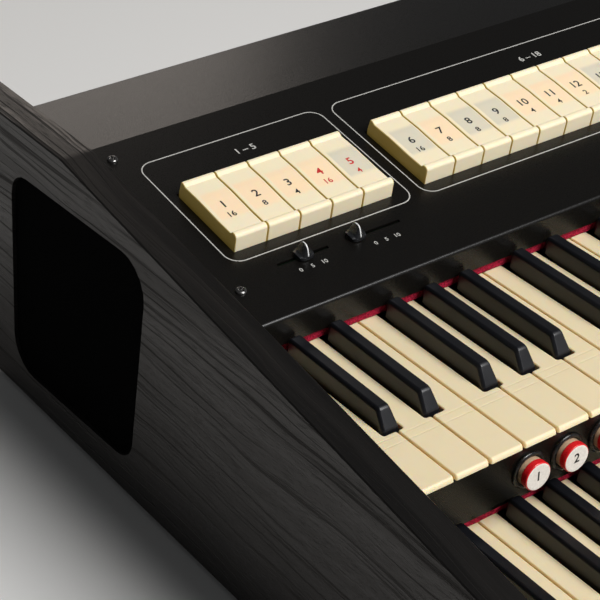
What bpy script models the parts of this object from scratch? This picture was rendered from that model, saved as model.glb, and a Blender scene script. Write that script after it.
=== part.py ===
"""Two-manual table-top electronic organ.

Units are metres, +Z is up, +Y points to the rear and +X to the player's right.
The origin is the middle of the footprint on the surface that the organ stands on.
"""
import math

import bmesh
import bpy
from mathutils import Matrix, Vector

# Clearances
SEAT_GAP = 0.0003
KEY_GAP = 0.0009
TAB_GAP = 0.0006
CUTOUT_GAP = 0.0009
SLOT_GAP = 0.0003

# Case
CASE_DEPTH = 0.565
CHEEK_THICKNESS = 0.022
CHEEK_HEIGHT = 0.2121
CHEEK_SLOPE = math.radians(9.7)
CHEEK_BEND_FROM_REAR = 0.120
CHEEK_BEND_RADIUS = 0.050
CHEEK_FRONT_RADIUS = 0.012
CHEEK_EDGE = 0.0008
CHEEK_OVER_PANEL = 0.0045
KEYBOARD_TO_CHEEK = 0.002
FOOT_HEIGHT = 0.005
FOOT_RADIUS = 0.014
FOOT_INSET = 0.045

# Loudspeaker opening in the cheek. Each corner's y counts from the upper manual's rear line.
# Its second value is the depth below the cheek's level top for the upper two corners, and
# the height over the case's floor for the lower two
OPENING_FRONT_TOP = (0.0752, 0.0292)
OPENING_REAR_TOP = (0.2352, 0.0352)
OPENING_REAR_BOTTOM = (0.2530, 0.0211)
OPENING_FRONT_BOTTOM = (0.1040, 0.0268)
OPENING_RADIUS = 0.022
OPENING_DEPTH = 0.008
GRILLE_INSET = 0.003
SPEAKER_RADIUS = 0.065
SPEAKER_HOLE_RADIUS = 0.056
SPEAKER_DEPTH = 0.058
SPEAKER_MAGNET_RADIUS = 0.034
SPEAKER_FLANGE = 0.004

# Keyboards
NATURAL_PITCH = 0.0235
OCTAVES = 5
NATURAL_LENGTH = 0.1415
KEY_DEPTH = 0.013
LIP_THICKNESS = 0.0035
LIP_LENGTH = 0.0165
SHARP_SLOT = 0.0134
SHARP_SIDE_GAP = 0.0010
SHARP_HEIGHT = 0.012
SHARP_LENGTH = 0.0885
SHARP_REAR_GAP = 0.004
SHARP_FRONT_SLOPE = 0.0062
SHARP_TOP_TAPER = 0.0016
NOTCH_GAP = 0.0010
SHARP_OFFSETS = {0: -0.0022, 1: 0.0025, 3: -0.0031, 4: 0.0006, 5: 0.0034}
UPPER_REAR_FROM_FRONT = 0.275
MANUAL_STEP_BACK = 0.1116
MANUAL_STEP_DOWN = 0.072

# Key pivots and frames
PIVOT_RADIUS = 0.004
BOSS_STEPS = 6
BAR_SIDES = 6
NATURAL_PIVOT_BACK = 0.040
SHARP_PIVOT_BACK = 0.060
PIVOT_DROP = 0.006
TAIL_THICKNESS = 0.0052
STEM_LIFT = 0.0005
STEM_THICKNESS = 0.0055
FRAME_DROP = 0.0245
FRAME_SHEET = 0.0015
FRAME_REAR = 0.070
RAIL_WALL = 0.0012
CONTACT_BOARD_THICKNESS = 0.0016
CONTACT_STRIP_HEIGHT = 0.003

# Felt
FELT_HEIGHT = 0.0110
FELT_THICKNESS = 0.0020
FELT_LIFT = 0.0005
FELT_SHOWN = 0.0070

# Control panel
PANEL_SHEET = 0.0016
PANEL_BEND = 0.0024
PANEL_LIP_FORWARD = 0.0024
PANEL_LIP_TOP = 0.0246
PANEL_LEVEL_HEIGHT = 0.0553
PANEL_REAR_Y = 0.250
PANEL_REAR_FLANGE = 0.012
CLEAT_SIZE = 0.012

# Rocker tabs, in the panel's own plane: s runs up the slope, h stands square to it
TAB_LENGTH = 0.0592
TAB_FRONT_S = 0.0612
TAB_RIDGE = 0.0108
TAB_DISH = 0.0091
TAB_RIDGE_LENGTH = 0.0060
TAB_SKIRT = 0.0030
TAB_PIVOT_DEPTH = 0.009
TAB_PIVOT_RADIUS = 0.002
TAB_NECK = 0.006
TAB_ROD_RADIUS = 0.0015
TAB_COUNTS = (5, 13, 14)
TAB_GROUP_GAPS = (0.0246, 0.0233)
TAB_MARGIN_LEFT = 0.0242
TAB_MARGIN_RIGHT = 0.0347
TAB_RAIL_WIDTH = 0.010
BOARD_DROP = 0.0204
BOARD_SHEET = 0.0016
BOARD_FRONT_S = 0.030
BOARD_REAR_S = 0.132
STUD_SIZE = 0.006

# Slide controls
SLIDER_S = 0.0393
SLIDER_TRAVEL = 0.030
SLIDER_STEM_LENGTH = 0.004
SLIDER_STEM_WIDTH = 0.0016
SLIDER_SLOT_LENGTH = 0.036
VOLUME_SLOT_X = 0.0568
REVERB_SLOT_X = 0.1095
KNOB_SIZE = 0.011
KNOB_HEIGHT = 0.0105
KNOB_LIFT = 0.0008
KNOB_FIN = 0.0030
KNOB_SKIRT = 0.0020
KNOB_SHOULDER = 0.0008
POT_HEIGHT = 0.0078
POT_WIDTH = 0.009
POT_SLOT_DEPTH = 0.0035

# Slip and thumb pistons
SLIP_FACE_Y = -0.1275
SLIP_TOP = -0.0150
SLIP_BOTTOM = -0.0480
SLIP_SHEET = 0.0020
SLIP_FELT_WEB_Y = -0.1143
PISTON_RADIUS = 0.00895
PISTON_OUT = 0.0085
PISTON_DEPTH = 0.0075
PISTON_Z = -0.0333
PISTON_FIRST_X = 0.08875
PISTON_PITCH = 0.02805
PISTON_GROUP = 4
PISTON_TRAVEL = 0.002
PISTON_SIDES = 16
BEZEL_RADIUS = 0.0113
BEZEL_OUT = 0.0015
PISTON_BAR = 0.0030
PISTON_BOARD_SHEET = 0.0016

# Case boards and rear panel
BASE_THICKNESS = 0.016
RAIL_THICKNESS = 0.018
RAIL_FRONT_Y = -0.262
RAIL_TOP = -0.0870
RAIL_EDGE_RADIUS = 0.004
REAR_SHEET = 0.0015

# Electronics
SUPPLY_SIZE = (0.160, 0.090, 0.025)
SUPPLY_SHEET = 0.0015
TRANSFORMER_CORE = 0.042
CAPACITOR_RADIUS = 0.008
CAPACITOR_HEIGHT = 0.030
SUPPLY_FROM_RIGHT = 0.175
SUPPLY_BACK = 0.125
MAIN_BOARD_SIZE = (0.240, 0.130)
MAIN_BOARD_FROM_LEFT = 0.375
MAIN_BOARD_BACK = 0.130
POST_HEIGHT = 0.010
POST_SIZE = 0.008
CHIP_XS = (-0.050, 0.010, 0.050, 0.085)
CHIP_YS = (0.010, 0.015, -0.020, 0.030)
CHIP_SIZES = (0.028, 0.020, 0.024, 0.018)
CHIP_HEIGHTS = (0.0040, 0.0030, 0.0060, 0.0110)
HEATSINK_FINS = 9
HEATSINK_BASE = 0.005
HEATSINK_PITCH = 0.008
HEATSINK_FIN = 0.0025
HEATSINK_DEPTH = 0.030
HEATSINK_HEIGHT = 0.050
HEATSINK_FROM_LEFT = 0.155
HEATSINK_BACK = 0.150

# Rear sockets
SOCKET_HEIGHT = -0.060
SOCKETS_FROM_LEFT = 0.135
SOCKET_BLOCK_SIZE = (0.058, 0.048)
SOCKET_PITCH = (0.029, 0.024)
JACK_RADIUS = 0.0034
DIN_RADIUS = 0.0075
SOCKET_DEPTH = 0.016
SOCKET_WALL = 0.0016
INLET_FROM_RIGHT = 0.095
INLET_WIDTH = 0.024
INLET_HEIGHT = 0.0165
INLET_DEPTH = 0.016
INLET_WALL = 0.002
PIN_XS = (-0.007, 0.0, 0.007)
PIN_ZS = (-0.002, 0.002, -0.002)
PIN_SIZE = (0.002, 0.004)
SWITCH_WIDTH = 0.013
SWITCH_HEIGHT = 0.021
SWITCH_DEPTH = 0.012
SWITCH_FACE_ANGLE = math.radians(50)
SWITCH_TIP = math.radians(8)

# Derived frame of the whole object
NATURALS = 7 * OCTAVES + 1
KEYBOARD_WIDTH = NATURALS * NATURAL_PITCH
INNER_HALF = KEYBOARD_WIDTH / 2 + KEYBOARD_TO_CHEEK
OUTER_HALF = INNER_HALF + CHEEK_THICKNESS
SUPPLY_X = INNER_HALF - SUPPLY_FROM_RIGHT
MAIN_BOARD_X = MAIN_BOARD_FROM_LEFT - INNER_HALF
HEATSINK_X = HEATSINK_FROM_LEFT - INNER_HALF
SOCKETS_X = SOCKETS_FROM_LEFT - INNER_HALF
INLET_X = INNER_HALF - INLET_FROM_RIGHT
FRONT_Y = -CASE_DEPTH / 2
REAR_Y = CASE_DEPTH / 2
KEY_LEFT = -KEYBOARD_WIDTH / 2
UPPER_Y = FRONT_Y + UPPER_REAR_FROM_FRONT
CASE_FLOOR = FOOT_HEIGHT
CHEEK_TOP = CASE_FLOOR + CHEEK_HEIGHT
UPPER_Z = CHEEK_TOP - CHEEK_OVER_PANEL - PANEL_LEVEL_HEIGHT
LOWER_Y = UPPER_Y - MANUAL_STEP_BACK
LOWER_Z = UPPER_Z - MANUAL_STEP_DOWN
BASE_TOP = CASE_FLOOR + BASE_THICKNESS
TAB_ROW = KEYBOARD_WIDTH - TAB_MARGIN_LEFT - TAB_MARGIN_RIGHT - sum(TAB_GROUP_GAPS)
TAB_PITCH = TAB_ROW / sum(TAB_COUNTS)
TAB_GROUPS = [(TAB_MARGIN_LEFT + sum(TAB_GROUP_GAPS[:index]) + sum(TAB_COUNTS[:index]) * TAB_PITCH,
               count) for index, count in enumerate(TAB_COUNTS)]

MATERIALS = {
    "cheek_foil": ((0.035, 0.032, 0.030), 0.45, 0.0),
    "black_board": ((0.020, 0.020, 0.020), 0.5, 0.0),
    "panel_paint": ((0.022, 0.021, 0.020), 0.35, 0.0),
    "grille_cloth": ((0.010, 0.010, 0.010), 0.9, 0.0),
    "natural": ((0.82, 0.73, 0.53), 0.35, 0.0),
    "sharp": ((0.012, 0.012, 0.014), 0.4, 0.0),
    "felt": ((0.30, 0.012, 0.02), 0.95, 0.0),
    "tab": ((0.88, 0.80, 0.62), 0.4, 0.0),
    "knob": ((0.02, 0.02, 0.022), 0.35, 0.0),
    "piston": ((0.9, 0.86, 0.82), 0.3, 0.0),
    "steel": ((0.55, 0.56, 0.57), 0.4, 1.0),
    "board_green": ((0.02, 0.12, 0.05), 0.5, 0.0),
    "aluminium": ((0.75, 0.76, 0.77), 0.35, 1.0),
    "speaker": ((0.03, 0.03, 0.03), 0.6, 0.0),
    "rubber": ((0.02, 0.02, 0.02), 0.8, 0.0),
    "socket": ((0.015, 0.015, 0.015), 0.45, 0.0),
}


def clear_scene():
    """Empty the scene without closing the file that this runs from."""
    for old in list(bpy.data.objects):
        bpy.data.objects.remove(old, do_unlink=True)


def make_material(name):
    """Plain Principled material with the colour, roughness and metallic value of its slot."""
    colour, roughness, metallic = MATERIALS[name]
    made = bpy.data.materials.get(name) or bpy.data.materials.new(name)
    made.use_nodes = True
    shader = made.node_tree.nodes["Principled BSDF"]
    shader.inputs["Base Color"].default_value = (*colour, 1.0)
    shader.inputs["Roughness"].default_value = roughness
    shader.inputs["Metallic"].default_value = metallic
    return made


def solid(name, shape, material, origin=(0, 0, 0)):
    """Turn a bmesh in world metres into an object whose origin is at the given point."""
    bmesh.ops.recalc_face_normals(shape, faces=shape.faces)
    bmesh.ops.translate(shape, verts=shape.verts, vec=-Vector(origin))
    mesh = bpy.data.meshes.new(name)
    shape.to_mesh(mesh)
    shape.free()
    mesh.materials.append(make_material(material))
    made = bpy.data.objects.new(name, mesh)
    made.location = origin
    bpy.context.scene.collection.objects.link(made)
    return made


def smooth(made, angle=40):
    """Shade a round piece smooth, with its sharp edges kept."""
    made.data.shade_smooth()
    made.data.set_sharp_from_angle(angle=math.radians(angle))
    return made


def helper(name, shape):
    """A cutter or a joining shape, which is left out of the model itself."""
    made = solid(name, shape, "steel")
    made.hide_render = True
    made.display_type = "WIRE"
    return made


def combine(target, other, operation):
    """Boolean of a target with a helper object: UNION or DIFFERENCE."""
    step = target.modifiers.new(other.name, "BOOLEAN")
    step.operation = operation
    step.solver = "EXACT"
    step.object = other
    return target


def cut(target, shape):
    """Cut a bmesh out of an object."""
    tool = helper("cut_%s_%d" % (target.name, len(target.modifiers)), shape)
    return combine(target, tool, "DIFFERENCE")


def fuse(target, shape):
    """Join a bmesh that overlaps an object to it."""
    tool = helper("add_%s_%d" % (target.name, len(target.modifiers)), shape)
    return combine(target, tool, "UNION")


def prism_into(shape, outline, axis, low, high):
    """Extrude a closed outline along x, y or z from low to high, into a bmesh."""
    place = {
        "x": lambda a, b: (low, a, b),
        "y": lambda a, b: (a, low, b),
        "z": lambda a, b: (a, b, low),
    }[axis]
    vec = {"x": (high - low, 0, 0), "y": (0, high - low, 0), "z": (0, 0, high - low)}[axis]
    verts = [shape.verts.new(place(a, b)) for a, b in outline]
    face = shape.faces.new(verts)
    made = bmesh.ops.extrude_face_region(shape, geom=[face])
    moved = [item for item in made["geom"] if isinstance(item, bmesh.types.BMVert)]
    bmesh.ops.translate(shape, verts=moved, vec=vec)
    return verts + moved


def prism(outline, axis, low, high):
    """A bmesh holding one extruded outline."""
    shape = bmesh.new()
    prism_into(shape, outline, axis, low, high)
    return shape


def block_into(shape, low, high):
    """A box between two corners, into a bmesh."""
    outline = [(low[0], low[1]), (high[0], low[1]), (high[0], high[1]), (low[0], high[1])]
    return prism_into(shape, outline, "z", low[2], high[2])


def block(low, high):
    """A bmesh holding one box."""
    shape = bmesh.new()
    block_into(shape, low, high)
    return shape


def lathe_into(shape, profile, steps, axis, centre):
    """Turn (distance along the axis, radius) points round an axis through centre."""
    along = {"x": Vector((1, 0, 0)), "y": Vector((0, 1, 0)), "z": Vector((0, 0, 1))}[axis]
    side = {"x": Vector((0, 1, 0)), "y": Vector((0, 0, 1)), "z": Vector((1, 0, 0))}[axis]
    base = Vector(centre)
    verts = [shape.verts.new(base + along * a + side * r) for a, r in profile]
    edges = [shape.edges.new(pair) for pair in zip(verts, verts[1:])]
    before = set(shape.verts) - set(verts)
    bmesh.ops.spin(shape, geom=verts + edges, cent=base, axis=along, dvec=(0, 0, 0),
                   angle=2 * math.pi, steps=steps, use_merge=True, use_duplicate=False)
    turned = [v for v in shape.verts if v not in before]
    bmesh.ops.remove_doubles(shape, verts=turned, dist=0.00001)


def lathe(profile, steps, axis, centre):
    """A bmesh holding one turned piece."""
    shape = bmesh.new()
    lathe_into(shape, profile, steps, axis, centre)
    return shape


def arc(centre, radius, start, end, steps):
    """Points on an arc, with angles in degrees."""
    points = []
    for step in range(steps + 1):
        angle = math.radians(start + (end - start) * step / steps)
        points.append((centre[0] + radius * math.cos(angle), centre[1] + radius * math.sin(angle)))
    return points


def round_corner(before, corner, after, radius, steps):
    """Replace one corner of an outline by a tangent arc."""
    corner = Vector(corner)
    to_before = (Vector(before) - corner).normalized()
    to_after = (Vector(after) - corner).normalized()
    half = to_before.angle(to_after) / 2
    reach = radius / math.tan(half)
    centre = corner + (to_before + to_after).normalized() * (radius / math.sin(half))
    start = corner + to_before * reach - centre
    end = corner + to_after * reach - centre
    turn = math.atan2(start.x * end.y - start.y * end.x, start.dot(end))
    points = []
    for step in range(steps + 1):
        spoke = Matrix.Rotation(turn * step / steps, 2) @ start
        points.append(tuple(centre + spoke))
    return points


def rounded(outline, radii, steps):
    """Round the corners of a closed outline; a radius of 0 keeps the corner sharp."""
    points = []
    count = len(outline)
    for index, corner in enumerate(outline):
        if radii[index] == 0:
            points.append(tuple(corner))
            continue
        before = outline[index - 1]
        after = outline[(index + 1) % count]
        points += round_corner(before, corner, after, radii[index], steps)
    return points


def sheet_outline(path, thickness):
    """Closed outline of a folded sheet whose outer surface follows an open path.

    The sheet lies to the right of the path's direction of travel.
    """
    points = [Vector(point) for point in path]
    inner = []
    for index, point in enumerate(points):
        spans = []
        if index > 0:
            spans.append((point - points[index - 1]).normalized())
        if index < len(points) - 1:
            spans.append((points[index + 1] - point).normalized())
        normals = [Vector((span.y, -span.x)) for span in spans]
        middle = sum(normals, Vector((0, 0))).normalized()
        inner.append(tuple(point + middle * (thickness / middle.dot(normals[0]))))
    return [tuple(point) for point in points] + inner[::-1]


def bent(path, radius, steps=5):
    """Round the inner corners of an open path."""
    points = [tuple(path[0])]
    for index in range(1, len(path) - 1):
        points += round_corner(path[index - 1], path[index], path[index + 1], radius, steps)
    points.append(tuple(path[-1]))
    return points


def panel_point(s, h):
    """World (y, z) of a point s up the panel's slope and h square to its face."""
    cos, sin = math.cos(CHEEK_SLOPE), math.sin(CHEEK_SLOPE)
    y = UPPER_Y - PANEL_LIP_FORWARD + s * cos - h * sin
    z = UPPER_Z + PANEL_LIP_TOP + s * sin + h * cos
    return y, z


def panel_outline(points):
    """World outline of points given in the panel's own plane."""
    return [panel_point(s, h) for s, h in points]


# Cheeks, grilles and loudspeakers

def opening_corners():
    """World (y, z) of the loudspeaker opening's corners, before they are rounded."""
    corners = [(OPENING_FRONT_TOP[0], CHEEK_TOP - OPENING_FRONT_TOP[1]),
               (OPENING_FRONT_BOTTOM[0], CASE_FLOOR + OPENING_FRONT_BOTTOM[1]),
               (OPENING_REAR_BOTTOM[0], CASE_FLOOR + OPENING_REAR_BOTTOM[1]),
               (OPENING_REAR_TOP[0], CHEEK_TOP - OPENING_REAR_TOP[1])]
    return [Vector((UPPER_Y + y, z)) for y, z in corners]


def opening_middle():
    """World (y, z) of the opening's middle, which is the loudspeaker's axis."""
    corners = opening_corners()
    return sum(corners, Vector((0, 0))) / len(corners)


def opening_outline(shrink=0.0):
    """Rounded outline of the loudspeaker opening, drawn in by a clearance."""
    middle = opening_middle()
    outline = []
    for corner in opening_corners():
        offset = corner - middle
        inward = Vector((math.copysign(shrink, offset.x), math.copysign(shrink, offset.y)))
        outline.append(tuple(corner - inward))
    return rounded(outline, [OPENING_RADIUS] * len(outline), 5)


def build_cheek(name, side):
    """Side board with a rebate for the grille, a loudspeaker hole and a glued cleat."""
    bend_y = REAR_Y - CHEEK_BEND_FROM_REAR
    front_top = CHEEK_TOP - (bend_y - FRONT_Y) * math.tan(CHEEK_SLOPE)
    outline = [(FRONT_Y, CASE_FLOOR), (REAR_Y, CASE_FLOOR), (REAR_Y, CHEEK_TOP),
               (bend_y, CHEEK_TOP), (FRONT_Y, front_top)]
    outline = rounded(outline, [0, 0, 0, CHEEK_BEND_RADIUS, CHEEK_FRONT_RADIUS], 5)
    inner, outer = side * INNER_HALF, side * OUTER_HALF
    board = solid(name, prism(outline, "x", inner, outer), "cheek_foil")
    edge = board.modifiers.new("edge", "BEVEL")
    edge.width = CHEEK_EDGE
    edge.segments = 1
    edge.limit_method = "ANGLE"
    edge.angle_limit = math.radians(50)
    floor = outer - side * OPENING_DEPTH
    beyond = outer + side * OPENING_DEPTH
    cut(board, prism(opening_outline(), "x", floor, beyond))
    middle = (inner - side * CHEEK_THICKNESS, *opening_middle())
    reach = side * CHEEK_THICKNESS * 3
    profile = [(0, 0), (0, SPEAKER_HOLE_RADIUS), (reach, SPEAKER_HOLE_RADIUS), (reach, 0)]
    cut(board, lathe(profile, 28, "x", middle))
    start_s = CLEAT_SIZE
    panel_end_s = panel_bend_s() - CLEAT_SIZE
    under = -PANEL_SHEET - SEAT_GAP
    cleat = panel_outline([(start_s, under), (panel_end_s, under),
                           (panel_end_s, under - CLEAT_SIZE), (start_s, under - CLEAT_SIZE)])
    inset = inner - side * CLEAT_SIZE
    return fuse(board, prism(cleat, "x", inset, inner + side * CLEAT_SIZE / 2))


def build_grille(name, side):
    """Cloth-covered frame that fills the opening, a little below the cheek's face."""
    outer = side * (OUTER_HALF - GRILLE_INSET)
    back = side * (OUTER_HALF - OPENING_DEPTH + SEAT_GAP)
    return solid(name, prism(opening_outline(SLOT_GAP), "x", back, outer), "grille_cloth")


def build_speaker(name, side):
    """Full-range driver on the cheek's inner face: flange, basket and magnet."""
    face = INNER_HALF - SEAT_GAP
    magnet = 0.6 * SPEAKER_DEPTH
    coil = SPEAKER_MAGNET_RADIUS / 2
    profile = [(-magnet / 2, 0), (-0.8 * magnet, coil), (-SPEAKER_FLANGE, 0.88 * SPEAKER_HOLE_RADIUS),
               (0, 0.94 * SPEAKER_HOLE_RADIUS), (0, SPEAKER_RADIUS), (-SPEAKER_FLANGE, SPEAKER_RADIUS),
               (-SPEAKER_FLANGE, SPEAKER_HOLE_RADIUS), (-magnet, 0.8 * SPEAKER_MAGNET_RADIUS),
               (-magnet, SPEAKER_MAGNET_RADIUS), (-SPEAKER_DEPTH, SPEAKER_MAGNET_RADIUS),
               (-SPEAKER_DEPTH, 0)]
    profile = [(side * along, radius) for along, radius in profile]
    centre = (side * face, *opening_middle())
    return smooth(solid(name, lathe(profile, 20, "x", centre), "speaker"))


# Case boards, panel and rear

def panel_bend_s():
    """Distance up the slope at which the panel turns level."""
    return (PANEL_LEVEL_HEIGHT - PANEL_LIP_TOP) / math.sin(CHEEK_SLOPE)


def build_base_board():
    """Bottom board between the cheeks."""
    half = INNER_HALF - SEAT_GAP
    rear = UPPER_Y + PANEL_REAR_Y - PANEL_SHEET - REAR_SHEET - 2 * SEAT_GAP
    front = UPPER_Y + RAIL_FRONT_Y + RAIL_THICKNESS + SEAT_GAP
    shape = block((-half, front, CASE_FLOOR), (half, rear, BASE_TOP))
    return solid("base_board", shape, "black_board")


def build_front_rail():
    """Front board below the lower keys, with a rounded top front edge."""
    front = UPPER_Y + RAIL_FRONT_Y
    top = UPPER_Z + RAIL_TOP
    outline = [(front, CASE_FLOOR), (front + RAIL_THICKNESS, CASE_FLOOR),
               (front + RAIL_THICKNESS, top), (front, top)]
    outline = rounded(outline, [0, 0, 0, RAIL_EDGE_RADIUS], 4)
    half = INNER_HALF - SEAT_GAP
    return solid("front_rail", prism(outline, "x", -half, half), "black_board")


def build_feet():
    """Four rubber feet under the base board."""
    x = INNER_HALF - FOOT_INSET
    front = UPPER_Y + RAIL_FRONT_Y + FOOT_INSET
    rear = UPPER_Y + PANEL_REAR_Y - FOOT_INSET
    top = FOOT_HEIGHT - SEAT_GAP
    profile = [(0, 0), (0, FOOT_RADIUS * 0.86), (top, FOOT_RADIUS), (top, 0)]
    places = {"foot_front_left": (-x, front), "foot_front_right": (x, front),
              "foot_rear_left": (-x, rear), "foot_rear_right": (x, rear)}
    for name, (foot_x, foot_y) in places.items():
        smooth(solid(name, lathe(profile, 16, "z", (foot_x, foot_y, 0)), "rubber"))


def build_control_panel():
    """Folded sheet: felt lip, sloping face with cut-outs, level top and rear flange."""
    lip_y = UPPER_Y - PANEL_LIP_FORWARD
    level = UPPER_Z + PANEL_LEVEL_HEIGHT
    rear = UPPER_Y + PANEL_REAR_Y
    path = [(lip_y, UPPER_Z + FELT_SHOWN), (lip_y, UPPER_Z + PANEL_LIP_TOP),
            panel_point(panel_bend_s(), 0), (rear, level), (rear, level - PANEL_REAR_FLANGE)]
    half = INNER_HALF - SEAT_GAP
    outline = sheet_outline(bent(path, PANEL_BEND), PANEL_SHEET)
    panel = solid("control_panel", prism(outline, "x", -half, half), "panel_paint")
    window = bmesh.new()
    front_s = TAB_FRONT_S - CUTOUT_GAP
    rear_s = TAB_FRONT_S + TAB_LENGTH + CUTOUT_GAP
    depth = 2 * PANEL_SHEET
    for first_x, count in TAB_GROUPS:
        low = KEY_LEFT + first_x - CUTOUT_GAP
        high = KEY_LEFT + first_x + count * TAB_PITCH - TAB_GAP + CUTOUT_GAP
        face = panel_outline([(front_s, -depth), (rear_s, -depth), (rear_s, depth), (front_s, depth)])
        prism_into(window, face, "x", low, high)
    half_slot = SLIDER_STEM_WIDTH / 2 + SLOT_GAP
    for slot_x in (VOLUME_SLOT_X, REVERB_SLOT_X):
        low = KEY_LEFT + slot_x - SLIDER_SLOT_LENGTH / 2
        face = panel_outline([(SLIDER_S - half_slot, -depth), (SLIDER_S + half_slot, -depth),
                              (SLIDER_S + half_slot, depth), (SLIDER_S - half_slot, depth)])
        prism_into(window, face, "x", low, low + SLIDER_SLOT_LENGTH)
    cut(panel, window)
    studs = bmesh.new()
    top_h = -PANEL_SHEET / 2
    low_h = -BOARD_DROP + SEAT_GAP
    for stud_s in (BOARD_FRONT_S + STUD_SIZE, BOARD_REAR_S - STUD_SIZE):
        for first_x, count in TAB_GROUPS:
            x = KEY_LEFT + first_x + (count + 0.5) * TAB_PITCH
            low_s, high_s = stud_s - STUD_SIZE / 2, stud_s + STUD_SIZE / 2
            face = panel_outline([(low_s, low_h), (high_s, low_h), (high_s, top_h), (low_s, top_h)])
            prism_into(studs, face, "x", x - STUD_SIZE / 2, x + STUD_SIZE / 2)
    return fuse(panel, studs)


def build_rear_panel():
    """Steel sheet inside the panel's rear flange, with holes for the sockets."""
    half = INNER_HALF - SEAT_GAP
    rear = UPPER_Y + PANEL_REAR_Y - PANEL_SHEET - SEAT_GAP
    top = UPPER_Z + PANEL_LEVEL_HEIGHT - PANEL_SHEET - SEAT_GAP
    shape = block((-half, rear - REAR_SHEET, CASE_FLOOR), (half, rear, top))
    panel = solid("rear_panel", shape, "panel_paint")
    holes = bmesh.new()
    z = UPPER_Z + SOCKET_HEIGHT
    width, height = SOCKET_BLOCK_SIZE[0] / 2 + SEAT_GAP, SOCKET_BLOCK_SIZE[1] / 2 + SEAT_GAP
    block_into(holes, (SOCKETS_X - width, rear - 0.01, z - height),
               (SOCKETS_X + width, rear + 0.01, z + height))
    low, high, half_height = inlet_span()
    block_into(holes, (low - SEAT_GAP, rear - 0.01, z - half_height - SEAT_GAP),
               (high + SEAT_GAP, rear + 0.01, z + half_height + SEAT_GAP))
    return cut(panel, holes)


# Keys

def sharp_centre(index):
    """Distance from the keyboard's left edge to the sharp right of natural number index."""
    return (index + 1) * NATURAL_PITCH + SHARP_OFFSETS[index % 7]


def has_sharp(index):
    """True where a sharp stands right of natural number index."""
    return 0 <= index < NATURALS - 1 and index % 7 in SHARP_OFFSETS


def natural_plan(index, y):
    """Outline in plan of one natural: wide head, and a tail between its sharps."""
    left = KEY_LEFT + index * NATURAL_PITCH + KEY_GAP / 2
    right = left + NATURAL_PITCH - KEY_GAP
    notch = y - SHARP_REAR_GAP - SHARP_LENGTH - NOTCH_GAP
    rear = y + NATURAL_PIVOT_BACK
    front = y - NATURAL_LENGTH
    outline = [(left, front), (right, front)]
    if has_sharp(index):
        inner = KEY_LEFT + sharp_centre(index) - SHARP_SLOT / 2
        outline += [(right, notch), (inner, notch), (inner, rear)]
    else:
        outline += [(right, rear)]
    if has_sharp(index - 1):
        inner = KEY_LEFT + sharp_centre(index - 1) + SHARP_SLOT / 2
        outline += [(inner, rear), (inner, notch), (left, notch)]
    else:
        outline += [(left, rear)]
    return outline


def build_naturals(name, indexes, y, z):
    """Natural keys of one body: a single key, or a moulded comb on a common pivot bar."""
    pivot = (0, y + NATURAL_PIVOT_BACK, z - PIVOT_DROP)
    shape = bmesh.new()
    plans = [natural_plan(index, y) for index in indexes]
    for plan in plans:
        prism_into(shape, plan, "z", z - KEY_DEPTH, z)
    low = min(x for x, _ in plans[0])
    high = max(x for x, _ in plans[-1])
    tails = [x for x, plan_y in plans[0] + plans[-1] if plan_y > y]
    keys = solid(name, shape, "natural", (low, pivot[1], pivot[2]))
    relief = bmesh.new()
    margin = NATURAL_PITCH
    front = y - NATURAL_LENGTH
    block_into(relief, (low - margin, front - margin, z - 2 * KEY_DEPTH),
               (high + margin, front + LIP_LENGTH, z - LIP_THICKNESS))
    block_into(relief, (low - margin, pivot[1] - 2.6 * PIVOT_RADIUS, z - 2 * KEY_DEPTH),
               (high + margin, pivot[1] + margin, z - TAIL_THICKNESS))
    cut(keys, relief)
    length = max(tails) - min(tails)
    bar = lathe([(0, 0), (0, PIVOT_RADIUS), (length, PIVOT_RADIUS), (length, 0)], 2 * BAR_SIDES, "x",
                (min(tails), pivot[1], pivot[2]))
    return fuse(keys, bar)


def sharp_profile(y, z):
    """Side view of a sharp: sloped front, level top, and a stem over the naturals' pivot."""
    front = y - SHARP_REAR_GAP - SHARP_LENGTH
    rear = y - SHARP_REAR_GAP
    pivot = (y + SHARP_PIVOT_BACK, z - PIVOT_DROP)
    under = z - KEY_DEPTH
    felt = z - FELT_LIFT - KEY_GAP / 2
    rise = y + FELT_THICKNESS + 2 * SHARP_REAR_GAP
    crest = y + NATURAL_PIVOT_BACK + 2 * PIVOT_RADIUS
    stem_low = z + STEM_LIFT
    stem_high = stem_low + STEM_THICKNESS
    slope_top = z + SHARP_HEIGHT
    slope = SHARP_FRONT_SLOPE
    points = [(front, under), (rise - SHARP_REAR_GAP, under), (rise, stem_low),
              (crest, stem_low), (pivot[0] - PIVOT_RADIUS, pivot[1] + PIVOT_RADIUS / 2)]
    points += arc(pivot, PIVOT_RADIUS, 180, 450, BOSS_STEPS)
    points += [(crest, stem_high), (rise, stem_high), (rise - SHARP_REAR_GAP, felt),
               (rear, felt), (rear, slope_top), (front + slope + 0.0025, slope_top),
               (front + slope, slope_top - 0.0008), (front, z + 0.0005)]
    return points


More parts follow.
